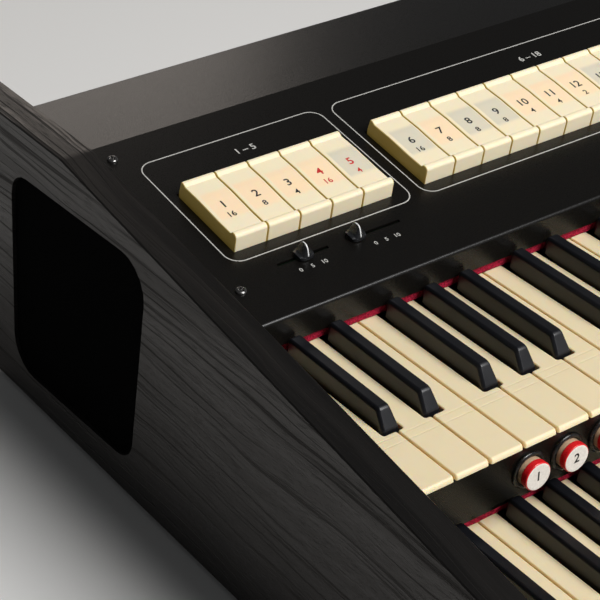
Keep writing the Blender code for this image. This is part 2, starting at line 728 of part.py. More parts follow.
def build_sharps(name, indexes, y, z):
    """Sharp keys of one body: a single key, or a comb on a common pivot bar."""
    pivot = (0, y + SHARP_PIVOT_BACK, z - PIVOT_DROP)
    shape = bmesh.new()
    half = SHARP_SLOT / 2 - SHARP_SIDE_GAP
    profile = sharp_profile(y, z)
    for index in indexes:
        centre = KEY_LEFT + sharp_centre(index)
        for vert in prism_into(shape, profile, "x", centre - half, centre + half):
            if vert.co.z > z + SHARP_HEIGHT / 2:
                rise = (vert.co.z - z) / SHARP_HEIGHT
                vert.co.x -= math.copysign(SHARP_TOP_TAPER * rise, vert.co.x - centre)
    low = KEY_LEFT + sharp_centre(indexes[0]) - half
    high = KEY_LEFT + sharp_centre(indexes[-1]) + half
    keys = solid(name, shape, "sharp", (low, pivot[1], pivot[2]))
    if len(indexes) == 1:
        return keys
    radius = PIVOT_RADIUS * 0.92
    bar = lathe([(0, 0), (0, radius), (high - low, radius), (high - low, 0)], BAR_SIDES, "x",
                (low, pivot[1], pivot[2]))
    return fuse(keys, bar)


def build_key_frame(name, y, z):
    """Folded and grooved frame: floor sheet and the two rails that the keys rock in."""
    floor = z - FRAME_DROP
    seat = z - PIVOT_DROP
    groove = PIVOT_RADIUS + SEAT_GAP
    front = y + SLIP_FACE_Y + PISTON_DEPTH + PISTON_TRAVEL + PISTON_BOARD_SHEET + 2 * SEAT_GAP
    outline = [(front, floor - FRAME_SHEET), (front, floor)]
    for back in (NATURAL_PIVOT_BACK, SHARP_PIVOT_BACK):
        centre = (y + back, seat)
        outline += [(centre[0] - groove - RAIL_WALL, floor), (centre[0] - groove - RAIL_WALL, seat)]
        outline += arc(centre, groove, 180, 360, 6)
        outline += [(centre[0] + groove + RAIL_WALL, seat), (centre[0] + groove + RAIL_WALL, floor)]
    outline += [(y + FRAME_REAR, floor), (y + FRAME_REAR, floor - FRAME_SHEET)]
    half = INNER_HALF - SEAT_GAP
    return solid(name, prism(outline, "x", -half, half), "steel")


def build_contact_board(name, y, z):
    """Board on the frame's floor, with the rubber contact strip that the keys press."""
    floor = z - FRAME_DROP + SEAT_GAP
    top = floor + CONTACT_BOARD_THICKNESS
    middle = y - SHARP_LENGTH / 2
    half = 0.014
    strip = half / 3
    outline = [(middle - half, floor), (middle + half, floor), (middle + half, top),
               (middle + strip, top), (middle + strip / 2, top + CONTACT_STRIP_HEIGHT),
               (middle - strip / 2, top + CONTACT_STRIP_HEIGHT), (middle - strip, top),
               (middle - half, top)]
    left = KEY_LEFT + NATURAL_PITCH / 4
    return solid(name, prism(outline, "x", left, -left), "board_green")


def build_felt(name, y, z):
    """Felt strip that closes the keys' rear, glued behind the lip in front of it."""
    front = y - PANEL_LIP_FORWARD + PANEL_SHEET + SEAT_GAP
    low = z + FELT_LIFT
    half = INNER_HALF - SEAT_GAP
    shape = block((-half, front, low), (half, front + FELT_THICKNESS, low + FELT_HEIGHT))
    return solid(name, shape, "felt")


# Rocker tabs and slide controls

def tab_profile():
    """Side view of a rocker tab in the panel's plane: two ridges, dished top, pivot nose."""
    front = TAB_FRONT_S
    rear = TAB_FRONT_S + TAB_LENGTH
    middle = (front + rear) / 2
    ridge = TAB_RIDGE_LENGTH
    nose = (middle, -TAB_PIVOT_DEPTH)
    points = [(front + ridge * 0.07, -TAB_SKIRT), (front, TAB_RIDGE * 0.8),
              (front + ridge * 0.2, TAB_RIDGE * 0.97), (front + ridge * 0.45, TAB_RIDGE),
              (front + ridge * 0.7, TAB_RIDGE * 0.97), (front + ridge, TAB_DISH),
              (middle, TAB_DISH * 0.98), (rear - ridge, TAB_DISH * 1.03),
              (rear - ridge * 0.6, TAB_RIDGE * 0.95), (rear - ridge * 0.4, TAB_RIDGE),
              (rear - ridge * 0.25, TAB_RIDGE * 0.97), (rear, TAB_RIDGE * 0.35),
              (rear, -TAB_SKIRT), (middle + TAB_NECK, -TAB_SKIRT)]
    points += arc(nose, TAB_PIVOT_RADIUS, 20, -200, 4)
    points += [(middle - TAB_NECK, -TAB_SKIRT)]
    return panel_outline(points)


def tab_pivot():
    """World (y, z) of the axis that the tabs rock about."""
    return panel_point(TAB_FRONT_S + TAB_LENGTH / 2, -TAB_PIVOT_DEPTH)


def build_tabs(name, first_x, count):
    """One rocker tab, or a bank of tabs carried by a common rod."""
    profile = tab_profile()
    shape = bmesh.new()
    low = KEY_LEFT + first_x
    for index in range(count):
        left = low + index * TAB_PITCH
        prism_into(shape, profile, "x", left, left + TAB_PITCH - TAB_GAP)
    pivot = tab_pivot()
    tabs = solid(name, shape, "tab", (low, *pivot))
    if count == 1:
        return tabs
    length = count * TAB_PITCH - TAB_GAP
    rod = lathe([(0, 0), (0, TAB_ROD_RADIUS), (length, TAB_ROD_RADIUS), (length, 0)], 6, "x",
                (low, *pivot))
    return fuse(tabs, rod)


def build_tab_rail():
    """Grooved rail on the panel board that every tab rocks on."""
    middle = TAB_FRONT_S + TAB_LENGTH / 2
    half = TAB_RAIL_WIDTH / 2
    groove = TAB_PIVOT_RADIUS + SEAT_GAP
    floor = -BOARD_DROP + SEAT_GAP
    outline = [(middle - half, floor), (middle + half, floor), (middle + half, -TAB_PIVOT_DEPTH)]
    outline += arc((middle, -TAB_PIVOT_DEPTH), groove, 0, -180, 6)
    outline += [(middle - half, -TAB_PIVOT_DEPTH)]
    first_x = TAB_GROUPS[0][0]
    last_x, count = TAB_GROUPS[-1]
    low = KEY_LEFT + first_x
    high = KEY_LEFT + last_x + count * TAB_PITCH
    return solid("tab_rail", prism(panel_outline(outline), "x", low, high), "black_board")


def build_panel_board():
    """Board under the panel, with the two slide potentiometers soldered on it."""
    top = -BOARD_DROP
    low_h = top - BOARD_SHEET
    outline = panel_outline([(BOARD_FRONT_S, low_h), (BOARD_REAR_S, low_h),
                             (BOARD_REAR_S, top), (BOARD_FRONT_S, top)])
    low = KEY_LEFT + TAB_GROUPS[0][0]
    last_x, count = TAB_GROUPS[-1]
    high = KEY_LEFT + last_x + (count + 0.5) * TAB_PITCH + STUD_SIZE
    board = solid("panel_board", prism(outline, "x", low, high), "board_green")
    pots = bmesh.new()
    wells = bmesh.new()
    pot_top = top + POT_HEIGHT
    for slot_x in (VOLUME_SLOT_X, REVERB_SLOT_X):
        x = KEY_LEFT + slot_x
        half = SLIDER_SLOT_LENGTH / 2 + SLIDER_STEM_LENGTH
        reach = POT_WIDTH / 2
        root = (low_h + top) / 2
        face = panel_outline([(SLIDER_S - reach, root), (SLIDER_S + reach, root),
                              (SLIDER_S + reach, pot_top), (SLIDER_S - reach, pot_top)])
        prism_into(pots, face, "x", x - half, x + half)
        half = SLIDER_SLOT_LENGTH / 2
        reach = SLIDER_STEM_WIDTH / 2 + SLOT_GAP
        face = panel_outline([(SLIDER_S - reach, pot_top - POT_SLOT_DEPTH),
                              (SLIDER_S + reach, pot_top - POT_SLOT_DEPTH),
                              (SLIDER_S + reach, pot_top + POT_SLOT_DEPTH),
                              (SLIDER_S - reach, pot_top + POT_SLOT_DEPTH)])
        prism_into(wells, face, "x", x - half, x + half)
    fuse(board, pots)
    return cut(board, wells)


def build_slider(name, knob_x):
    """Slide control: skirted knob with a finger fin, and the stem into its potentiometer."""
    half = KNOB_SIZE / 2
    foot = KNOB_LIFT
    front, rear = SLIDER_S - half, SLIDER_S + half
    low_s, high_s = front + KNOB_SHOULDER, rear - KNOB_SHOULDER
    ledge, neck = foot + KNOB_SKIRT, foot + KNOB_SKIRT * 1.6
    shape = bmesh.new()
    skirt = [(front, foot), (rear, foot), (rear, ledge), (high_s, neck), (low_s, neck), (front, ledge)]
    x = KEY_LEFT + knob_x
    prism_into(shape, panel_outline(skirt), "x", x - half, x + half)
    origin = (x, *panel_point(SLIDER_S, 0))
    knob = solid(name, shape, "knob", origin)
    top = KNOB_HEIGHT
    root = foot + KNOB_SKIRT / 2
    crown = rounded([(low_s, root), (high_s, root), (high_s - half * 0.09, top * 0.62),
                     (SLIDER_S + half * 0.18, top), (low_s + half * 0.22, top * 0.86)],
                    [0, 0, half * 0.22, half * 0.29, half * 0.25], 3)
    fuse(knob, prism(panel_outline(crown), "x", x - KNOB_FIN / 2, x + KNOB_FIN / 2))
    pot_top = -BOARD_DROP + POT_HEIGHT
    reach = SLIDER_STEM_WIDTH / 2
    low_h = pot_top - POT_SLOT_DEPTH + SEAT_GAP
    stem = [(SLIDER_S - reach, low_h), (SLIDER_S + reach, low_h),
            (SLIDER_S + reach, root), (SLIDER_S - reach, root)]
    half_stem = SLIDER_STEM_LENGTH / 2
    return fuse(knob, prism(panel_outline(stem), "x", x - half_stem, x + half_stem))


# Slip and thumb pistons

def piston_places():
    """Distances from the keyboard's left edge to every piston: three groups."""
    span = (PISTON_GROUP - 1) * PISTON_PITCH
    firsts = (PISTON_FIRST_X, KEYBOARD_WIDTH / 2 - span / 2, KEYBOARD_WIDTH - PISTON_FIRST_X - span)
    return [first + index * PISTON_PITCH for first in firsts for index in range(PISTON_GROUP)]


def build_slip():
    """Folded rail under the upper keys, with the piston holes and their bezels."""
    face = UPPER_Y + SLIP_FACE_Y
    web = UPPER_Y + SLIP_FELT_WEB_Y
    bottom = UPPER_Z + SLIP_BOTTOM
    path = [(face, UPPER_Z + SLIP_TOP), (face, bottom), (web, bottom),
            (web, LOWER_Z + FELT_SHOWN)]
    outline = sheet_outline(path[::-1], SLIP_SHEET)
    half = INNER_HALF - SEAT_GAP
    slip = solid("upper_slip", prism(outline, "x", -half, half), "panel_paint")
    bezels = bmesh.new()
    holes = bmesh.new()
    z = UPPER_Z + PISTON_Z
    hole = PISTON_RADIUS + SLOT_GAP
    for place in piston_places():
        x = KEY_LEFT + place
        lathe_into(bezels, [(-BEZEL_OUT, 0), (-BEZEL_OUT, BEZEL_RADIUS), (SLIP_SHEET / 2, BEZEL_RADIUS),
                            (SLIP_SHEET / 2, 0)], PISTON_SIDES, "y", (x, face, z))
        lathe_into(holes, [(-BEZEL_OUT * 3, 0), (-BEZEL_OUT * 3, hole), (SLIP_SHEET * 3, hole),
                           (SLIP_SHEET * 3, 0)], PISTON_SIDES, "y", (x, face, z))
    fuse(slip, bezels)
    return cut(slip, holes)


def build_pistons(name, places):
    """One thumb piston, or several carried by a common bar behind the slip."""
    face = UPPER_Y + SLIP_FACE_Y - PISTON_OUT
    z = UPPER_Z + PISTON_Z
    rear = PISTON_OUT + PISTON_DEPTH
    shape = bmesh.new()
    for place in places:
        x = KEY_LEFT + place
        lathe_into(shape, [(0, 0), (0, PISTON_RADIUS - 0.0007), (0.0007, PISTON_RADIUS),
                           (rear, PISTON_RADIUS), (rear, 0)], PISTON_SIDES, "y", (x, face, z))
    pistons = smooth(solid(name, shape, "piston", (KEY_LEFT + places[0], face, z)))
    if len(places) == 1:
        return pistons
    bar_front = face + rear - PISTON_BAR
    return fuse(pistons, block((KEY_LEFT + places[0], bar_front, z - PISTON_BAR / 2),
                               (KEY_LEFT + places[-1], face + rear, z + PISTON_BAR / 2)))


def build_piston_board():
    """Switch board behind the pistons, standing on the slip's bottom flange."""
    behind = PISTON_DEPTH + PISTON_TRAVEL + SEAT_GAP
    front = UPPER_Y + SLIP_FACE_Y + behind
    bottom = UPPER_Z + SLIP_BOTTOM + SLIP_SHEET + SEAT_GAP
    top = UPPER_Z - FRAME_DROP - FRAME_SHEET - SEAT_GAP
    low = KEY_LEFT + piston_places()[0] - PISTON_PITCH / 2
    high = KEY_LEFT + piston_places()[-1] + PISTON_PITCH / 2
    shape = block((low, front, bottom), (high, front + PISTON_BOARD_SHEET, top))
    return solid("piston_board", shape, "board_green")


# Electronics and rear sockets

def build_power_supply():
    """Mains supply in a folded tray: transformer core with its winding, and capacitors."""
    width, depth, height = SUPPLY_SIZE
    x, y = SUPPLY_X, UPPER_Y + SUPPLY_BACK
    low = BASE_TOP + SEAT_GAP
    path = [(y - depth / 2, low + height), (y - depth / 2, low), (y + depth / 2, low),
            (y + depth / 2, low + height)]
    tray = sheet_outline(path[::-1], SUPPLY_SHEET)
    supply = solid("power_supply", prism(tray, "x", x - width / 2, x + width / 2), "steel")
    inside = bmesh.new()
    floor = low + SUPPLY_SHEET / 2
    core = TRANSFORMER_CORE
    core_x = x - width / 2 + core
    block_into(inside, (core_x - core / 2, y - core * 0.6, floor),
               (core_x + core / 2, y + core * 0.6, low + core))
    fuse(supply, inside)
    winding = block((core_x - core * 0.75, y - core * 0.32, low + core * 0.25),
                    (core_x + core * 0.75, y + core * 0.32, low + core * 0.75))
    fuse(supply, winding)
    cans = bmesh.new()
    for index in range(3):
        can_x = x + index * 3 * CAPACITOR_RADIUS
        lathe_into(cans, [(0, 0), (0, CAPACITOR_RADIUS), (CAPACITOR_HEIGHT, CAPACITOR_RADIUS),
                          (CAPACITOR_HEIGHT, 0)], 12, "z", (can_x, y, floor))
    return fuse(supply, cans)


def build_main_board():
    """Sound board on four posts, with its processor, memory and connectors."""
    width, depth = MAIN_BOARD_SIZE
    x, y = MAIN_BOARD_X, UPPER_Y + MAIN_BOARD_BACK
    low = BASE_TOP + SEAT_GAP + POST_HEIGHT
    board = solid("main_board", block((x - width / 2, y - depth / 2, low),
                                      (x + width / 2, y + depth / 2, low + BOARD_SHEET)), "board_green")
    extras = bmesh.new()
    post = POST_SIZE / 2
    for side_x in (-1, 1):
        for side_y in (-1, 1):
            post_x = x + side_x * (width / 2 - 2 * post)
            post_y = y + side_y * (depth / 2 - 2 * post)
            block_into(extras, (post_x - post, post_y - post, BASE_TOP + SEAT_GAP),
                       (post_x + post, post_y + post, low + BOARD_SHEET / 2))
    middle = low + BOARD_SHEET / 2
    for chip_x, chip_y, size, height in zip(CHIP_XS, CHIP_YS, CHIP_SIZES, CHIP_HEIGHTS):
        block_into(extras, (x + chip_x - size / 2, y + chip_y - size / 2, middle),
                   (x + chip_x + size / 2, y + chip_y + size / 2, low + height))
    return fuse(board, extras)


def build_amplifier():
    """Finned heat sink that carries the amplifier, extruded upwards."""
    half = HEATSINK_FINS * HEATSINK_PITCH / 2
    x0, y0 = HEATSINK_X - half, UPPER_Y + HEATSINK_BACK
    outline = [(x0, y0), (x0, y0 + HEATSINK_BASE)]
    for index in range(HEATSINK_FINS):
        left = x0 + index * HEATSINK_PITCH + (HEATSINK_PITCH - HEATSINK_FIN) / 2
        right = left + HEATSINK_FIN
        outline += [(left, y0 + HEATSINK_BASE), (left, y0 + HEATSINK_DEPTH),
                    (right, y0 + HEATSINK_DEPTH), (right, y0 + HEATSINK_BASE)]
    outline += [(x0 + 2 * half, y0 + HEATSINK_BASE), (x0 + 2 * half, y0)]
    low = BASE_TOP + SEAT_GAP
    return solid("amplifier", prism(outline, "z", low, low + HEATSINK_HEIGHT), "aluminium")


def socket_plane():
    """World y of the rear face of the rear panel."""
    return UPPER_Y + PANEL_REAR_Y - PANEL_SHEET - SEAT_GAP


def build_socket_board():
    """Board with a block of two round sockets over two jacks that fills a window of the rear."""
    plane = socket_plane()
    z = UPPER_Z + SOCKET_HEIGHT
    back = plane - SOCKET_DEPTH
    half_x, half_z = SOCKET_BLOCK_SIZE[0] / 2, SOCKET_BLOCK_SIZE[1] / 2
    margin = 3 * BOARD_SHEET
    left, right = SOCKETS_X - half_x - margin, SOCKETS_X + half_x + margin
    board = solid("socket_board", block((left, back - 2 * BOARD_SHEET, z - half_z),
                                        (right, back - BOARD_SHEET, z + half_z)), "board_green")
    fuse(board, block((SOCKETS_X - half_x, back - 1.5 * BOARD_SHEET, z - half_z),
                      (SOCKETS_X + half_x, plane + SOCKET_WALL, z + half_z)))
    wells = bmesh.new()
    for radius, socket_z in ((DIN_RADIUS, z + SOCKET_PITCH[1] / 2), (JACK_RADIUS, z - SOCKET_PITCH[1] / 2)):
        profile = [(0, 0), (0, radius), (SOCKET_DEPTH * 2, radius), (SOCKET_DEPTH * 2, 0)]
        for side in (-1, 1):
            place = (SOCKETS_X + side * SOCKET_PITCH[0] / 2, back + SOCKET_WALL, socket_z)
            lathe_into(wells, profile, 16, "y", place)
    cut(board, wells)
    feet = bmesh.new()
    front = plane - REAR_SHEET - SEAT_GAP
    for low in (left, right - margin / 2):
        block_into(feet, (low, back - 2 * BOARD_SHEET, z - half_z / 2),
                   (low + margin / 2, front, z + half_z / 2))
    return fuse(board, feet)


def switch_x():
    """World x of the mains switch, beside the inlet in the same housing."""
    return INLET_X - (INLET_WIDTH + SWITCH_WIDTH) / 2 - INLET_WALL


def inlet_span():
    """Low x, high x and half height of the housing that holds inlet and switch."""
    low = switch_x() - SWITCH_WIDTH / 2 - INLET_WALL
    high = INLET_X + INLET_WIDTH / 2 + INLET_WALL
    return low, high, max(INLET_HEIGHT, SWITCH_HEIGHT) / 2 + INLET_WALL


def build_power_inlet():
    """Housing in the rear panel with the three-pin mains recess and the switch recess."""
    plane = socket_plane()
    z = UPPER_Z + SOCKET_HEIGHT
    low, high, half = inlet_span()
    back = plane - INLET_DEPTH - 2 * INLET_WALL
    inlet = solid("power_inlet", block((low, back, z - half), (high, plane + INLET_WALL, z + half)),
                  "socket")
    wells = bmesh.new()
    beyond = plane + 3 * INLET_WALL
    block_into(wells, (INLET_X - INLET_WIDTH / 2, back + 2 * INLET_WALL, z - INLET_HEIGHT / 2),
               (INLET_X + INLET_WIDTH / 2, beyond, z + INLET_HEIGHT / 2))
    block_into(wells, (switch_x() - SWITCH_WIDTH / 2, plane - SWITCH_DEPTH, z - SWITCH_HEIGHT / 2),
               (switch_x() + SWITCH_WIDTH / 2, beyond, z + SWITCH_HEIGHT / 2))
    cut(inlet, wells)
    pins = bmesh.new()
    pin_half, pin_rise = PIN_SIZE[0] / 2, PIN_SIZE[1] / 2
    for pin_x, pin_z in zip(PIN_XS, PIN_ZS):
        block_into(pins, (INLET_X + pin_x - pin_half, back + INLET_WALL, z + pin_z - pin_rise),
                   (INLET_X + pin_x + pin_half, plane - INLET_DEPTH / 3, z + pin_z + pin_rise))
    return fuse(inlet, pins)


def build_power_switch():
    """Rocker of the mains switch, tipped to its off side: two faces that meet in a ridge."""
    plane = socket_plane()
    z = UPPER_Z + SOCKET_HEIGHT
    pivot = (switch_x(), plane - SWITCH_DEPTH / 2, z)
    tip = SWITCH_HEIGHT / 2 - 3 * SEAT_GAP
    front = tip * math.cos(SWITCH_FACE_ANGLE)
    reach = tip * math.sin(SWITCH_FACE_ANGLE)
    depth = SWITCH_DEPTH / 2 - 4 * SEAT_GAP
    outline = [(front, -reach), (front * 0.8, 0), (front, reach), (0, tip),
               (-depth, tip / 3), (-depth, -tip / 3), (0, -tip)]
    tipped = [tuple(Matrix.Rotation(SWITCH_TIP, 2) @ Vector(point)) for point in outline]
    placed = [(pivot[1] + along, z + up) for along, up in tipped]
    half = SWITCH_WIDTH / 2 - SEAT_GAP
    return solid("power_switch", prism(placed, "x", pivot[0] - half, pivot[0] + half), "socket", pivot)


def build_case():
    """Cheeks, boards, panel and rear."""
    for side_name, side in (("left", -1), ("right", 1)):
        build_cheek(side_name + "_cheek", side)
        build_grille(side_name + "_grille", side)
        build_speaker(side_name + "_speaker", side)
    build_base_board()
    build_front_rail()
    build_feet()
    build_control_panel()
    build_rear_panel()


def build_keyboards():
    """Frames, felts, contact boards and keys of both manuals."""
    names = ("c", "c_sharp", "d", "d_sharp", "e", "f", "f_sharp", "g", "g_sharp", "a", "a_sharp", "b")
    naturals = [name for name in names if "sharp" not in name]
    for manual, y, z in (("upper", UPPER_Y, UPPER_Z), ("lower", LOWER_Y, LOWER_Z)):
        build_key_frame(manual + "_key_frame", y, z)
        build_contact_board(manual + "_contact_board", y, z)
        build_felt(manual + "_felt", y, z)
    for index, name in enumerate(naturals):
        build_naturals("upper_key_" + name, [index], UPPER_Y, UPPER_Z)
        if has_sharp(index):
            build_sharps("upper_key_" + name + "_sharp", [index], UPPER_Y, UPPER_Z)
    first = len(naturals)
    rest = range(first, NATURALS)
    build_naturals("upper_naturals", list(rest), UPPER_Y, UPPER_Z)
    build_sharps("upper_sharps", [index for index in rest if has_sharp(index)], UPPER_Y, UPPER_Z)
    every = range(NATURALS)
    build_naturals("lower_naturals", list(every), LOWER_Y, LOWER_Z)
    build_sharps("lower_sharps", [index for index in every if has_sharp(index)], LOWER_Y, LOWER_Z)


def build_controls():
    """Tabs, slide controls, slip and pistons."""
    first_x, count = TAB_GROUPS[0]
    for index in range(count):
        build_tabs("tab_%d" % (index + 1), first_x + index * TAB_PITCH, 1)
    build_tabs("middle_tab_bank", *TAB_GROUPS[1])
    build_tabs("right_tab_bank", *TAB_GROUPS[2])
    build_tab_rail()
    build_panel_board()
    build_slider("volume_slider", VOLUME_SLOT_X)
    build_slider("reverb_slider", REVERB_SLOT_X - SLIDER_TRAVEL / 2)
    build_slip()
    places = piston_places()
    for index in range(PISTON_GROUP):
        build_pistons("piston_%d" % (index + 1), [places[index]])
    build_pistons("piston_bank", places[PISTON_GROUP:])
    build_piston_board()


def build_electronics():
    """What works inside the case, and the sockets in its rear."""
    build_power_supply()
    build_main_board()
    build_amplifier()
    build_socket_board()
    build_power_inlet()
    build_power_switch()


def main():
    clear_scene()
    build_case()
    build_keyboards()
    build_controls()
    build_electronics()


main()
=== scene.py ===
# %% [markdown]
# # A two-manual table organ, dressed for its photograph
#
# The solids of this organ come from a CAD model that is loaded below as a fixed frame.
# This lesson adds what makes the solids look real: rounded key fronts, lit rocker tabs,
# printed lines, turned thumb pistons, felt, cloth, screws and a material for every
# surface. Each new piece rides on the body of the frame that carries it, so it moves
# with its key, tab or piston. All lengths are metres; +Z is up, +Y points to the rear.

# %% Load the frame
import math

import bmesh
import bpy
import numpy as np
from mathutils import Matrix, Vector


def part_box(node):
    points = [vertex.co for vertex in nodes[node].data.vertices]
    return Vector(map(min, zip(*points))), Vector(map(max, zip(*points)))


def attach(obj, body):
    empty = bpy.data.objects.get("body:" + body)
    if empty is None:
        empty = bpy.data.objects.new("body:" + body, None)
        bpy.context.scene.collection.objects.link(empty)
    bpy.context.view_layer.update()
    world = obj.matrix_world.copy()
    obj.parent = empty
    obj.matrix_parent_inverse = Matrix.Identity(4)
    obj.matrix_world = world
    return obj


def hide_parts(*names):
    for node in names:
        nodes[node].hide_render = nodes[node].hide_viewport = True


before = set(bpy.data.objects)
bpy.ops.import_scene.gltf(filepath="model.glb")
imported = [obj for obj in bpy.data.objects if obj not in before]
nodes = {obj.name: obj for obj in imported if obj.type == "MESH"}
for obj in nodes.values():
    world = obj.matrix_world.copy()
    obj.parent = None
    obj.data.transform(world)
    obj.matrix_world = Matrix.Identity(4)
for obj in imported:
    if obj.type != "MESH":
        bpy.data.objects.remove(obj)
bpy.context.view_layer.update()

# %% [markdown]
# ## Measures taken from the frame
#
# A new piece has to sit exactly on the solid that it dresses. The rear line and the top
# of each manual are therefore read from the frame. A few sizes that the boxes of the
# solids don't give, such as the pitch of the keys, are repeated as named values.

# %% Measures
NATURAL_PITCH = 0.0235
NATURAL_LENGTH = 0.1415
KEY_GAP = 0.0009
KEY_DEPTH = 0.013
LIP_THICKNESS = 0.0035
LIP_LENGTH = 0.0165
SHARP_SLOT = 0.0134
SHARP_WIDTH = 0.0114
SHARP_OFFSETS = {0: -0.0022, 1: 0.0025, 3: -0.0031, 4: 0.0006, 5: 0.0034}
NATURAL_PIVOT = (0.040, -0.006)
SHARP_PIVOT = (0.060, -0.006)
PIVOT_RADIUS = 0.004

upper_low, upper_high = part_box("upper_naturals")
lower_low, lower_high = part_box("lower_naturals")
KEY_LEFT = lower_low.x - KEY_GAP / 2
NATURALS = round((lower_high.x - lower_low.x) / NATURAL_PITCH)
UPPER = (upper_low.y + NATURAL_LENGTH, upper_high.z)
LOWER = (lower_low.y + NATURAL_LENGTH, lower_high.z)
FIRST_OCTAVE = 7
print("naturals per manual:", NATURALS, "upper top at", round(UPPER[1], 4))

PANEL_SLOPE = math.radians(9.7)
PANEL_ORIGIN = (UPPER[0] - 0.0024, UPPER[1] + 0.0246)
TAB_PITCH = 0.0231
TAB_WIDTH = 0.0225
TAB_GROUPS = ((0.0242, 5), (0.1643, 13), (0.4879, 14))
print("tabs:", sum(count for _, count in TAB_GROUPS))

# %% [markdown]
# ## Shapes as arrays
#
# Nearly everything on an organ is a flat outline that was extruded and then eased at its
# edges: keys, tabs, pistons, screw heads. One function carries a closed outline through
# levels, drawing it in a little at each rim, and that gives the soft highlight along the
# edges that a sharp box never shows. Computing whole rings at once keeps it short.

# %% Outlines with round corners
def softened(corners, radii, steps=4):
    """Closed outline with round corners.

    At each corner the two unit directions back and ahead enclose twice the angle half.
    The arc's centre lies on their bisector at radius / sin(half), and the spoke turns
    from the first tangent point to the second by spherical interpolation:
    spoke(t) = (start sin((1 - t) turn) + end sin(t turn)) / sin(turn).
    """
    corners = np.asarray(corners, float)
    radii = np.broadcast_to(radii, len(corners)).astype(float)
    back = np.roll(corners, 1, axis=0) - corners
    ahead = np.roll(corners, -1, axis=0) - corners
    back /= np.linalg.norm(back, axis=1, keepdims=True)
    ahead /= np.linalg.norm(ahead, axis=1, keepdims=True)
    half = np.arccos(np.clip((back * ahead).sum(1), -1, 1)) / 2
    middle = back + ahead
    middle /= np.maximum(np.linalg.norm(middle, axis=1, keepdims=True), 1e-9)
    centre = corners + middle * (radii / np.sin(half))[:, None]
    reach = (radii / np.tan(half))[:, None]
    start = corners + back * reach - centre
    end = corners + ahead * reach - centre
    turn = np.maximum(np.pi - 2 * half, 1e-6)[:, None]
    t = np.linspace(0, 1, steps + 1)[None]
    spoke = start[:, None] * np.sin((1 - t) * turn)[..., None]
    spoke += end[:, None] * np.sin(t * turn)[..., None]
    points = centre[:, None] + spoke / np.sin(turn)[..., None]
    points[radii == 0] = corners[radii == 0][:, None]
    keep = (radii > 0)[:, None] | (t == 0)
    return points[keep]


def arc(centre, radius, first, last, step):
    """Points round a centre, from the first to the last angle in degrees."""
    angle = np.radians(np.arange(first, last + 1, step))
    return np.array(centre) + radius * np.stack([np.cos(angle), np.sin(angle)], axis=1)


def rectangle(low, high):
    """Four corners of an upright rectangle, anticlockwise."""
    return np.array([low, (high[0], low[1]), high, (low[0], high[1])], float)


print("points of a softened square:", len(softened(rectangle((0, 0), (1, 1)), 0.1)))

# %% Rings and the faces between them
def ring_faces(levels, count, closed=False):
    """Quads between neighbouring rings; point i of ring k has the number k * count + i."""
    last = levels if closed else levels - 1
    k, i = np.meshgrid(np.arange(last), np.arange(count), indexing="ij")
    above, beside = (k + 1) % levels, (i + 1) % count
    quads = [k * count + i, k * count + beside, above * count + beside, above * count + i]
    return np.stack(quads, axis=-1).reshape(-1, 4)


def skin(levels, count):
    """Faces between open rings, with a flat cap on the first ring and on the last."""
    first = np.arange(count)
    caps = [first[::-1].tolist(), (first + count * (levels - 1)).tolist()]
    return ring_faces(levels, count).tolist() + caps


def stacked(rings, heights):
    """Flat rings (level, point, 2) as one list of points, each ring at its own height."""
    heights = np.broadcast_to(np.reshape(heights, (-1, 1, 1)), rings.shape[:2] + (1,))
    return np.concatenate([rings, heights], axis=2).reshape(-1, 3)


print("faces of a six-sided prism:", len(skin(2, 6)))

# %% Slabs and their rims
def mitres(outline):
    """Outward corner vectors of an anticlockwise outline: (n1 + n2) / (1 + n1 . n2)."""
    edge = np.roll(outline, -1, axis=0) - outline
    edge /= np.linalg.norm(edge, axis=1, keepdims=True)
    normal = np.stack([edge[:, 1], -edge[:, 0]], axis=1)
    before = np.roll(normal, 1, axis=0)
    return (before + normal) / (1 + (before * normal).sum(1, keepdims=True))


def slab(outline, levels):
    """An outline carried through (inset, height) levels and closed by two flat caps.

    Each ring is the outline minus inset times its mitre vectors, at that level's height.
    """
    outline, levels = np.asarray(outline, float), np.asarray(levels, float)
    rings = outline[None] - levels[:, 0, None, None] * mitres(outline)[None]
    return stacked(rings, levels[:, 1]), skin(len(levels), len(outline))


def rims(low, high, radius_low, radius_high, steps=4):
    """Levels of a slab with quarter-round rims: inset r (1 - sin a), height r (1 - cos a)."""
    a = np.linspace(0, np.pi / 2, steps + 1)
    quarter = np.stack([1 - np.sin(a), 1 - np.cos(a)], axis=1)
    bottom = quarter * radius_low if radius_low else np.zeros((1, 2))
    top = (quarter * (radius_high, -radius_high))[::-1] if radius_high else np.zeros((1, 2))
    return np.concatenate([bottom + (0, low), top + (0, high)])


print("levels of a slab with two round rims:", len(rims(0, 1, 0.1, 0.1)))

# %% Stripes and turned shapes
def band(outline, width, low, high):
    """A flat closed stripe of one width along an outline, with a little thickness."""
    outline = np.asarray(outline, float)
    side, height = np.array([(-1, low), (1, low), (1, high), (-1, high)]).T
    rings = outline[None] + mitres(outline)[None] * side[:, None, None] * width / 2
    return stacked(rings, height), ring_faces(4, len(outline), closed=True)[:, ::-1].tolist()


def turned(profile, steps=48, closed=False):
    """A lathe shape: (height, radius) points turned round the third axis.

    The ends of an open profile are capped; a closed profile makes a ring.
    """
    profile = np.asarray(profile, float)
    angle = np.linspace(0, 2 * np.pi, steps, endpoint=False)
    circle = np.stack([np.cos(angle), np.sin(angle)], axis=1)
    points = stacked(profile[:, 1, None, None] * circle[None], profile[:, 0])
    if closed:
        return points, ring_faces(len(profile), steps, closed=True).tolist()
    return points, skin(len(profile), steps)


print("points of a turned pin:", len(turned([(0, 1), (2, 1)])[0]))

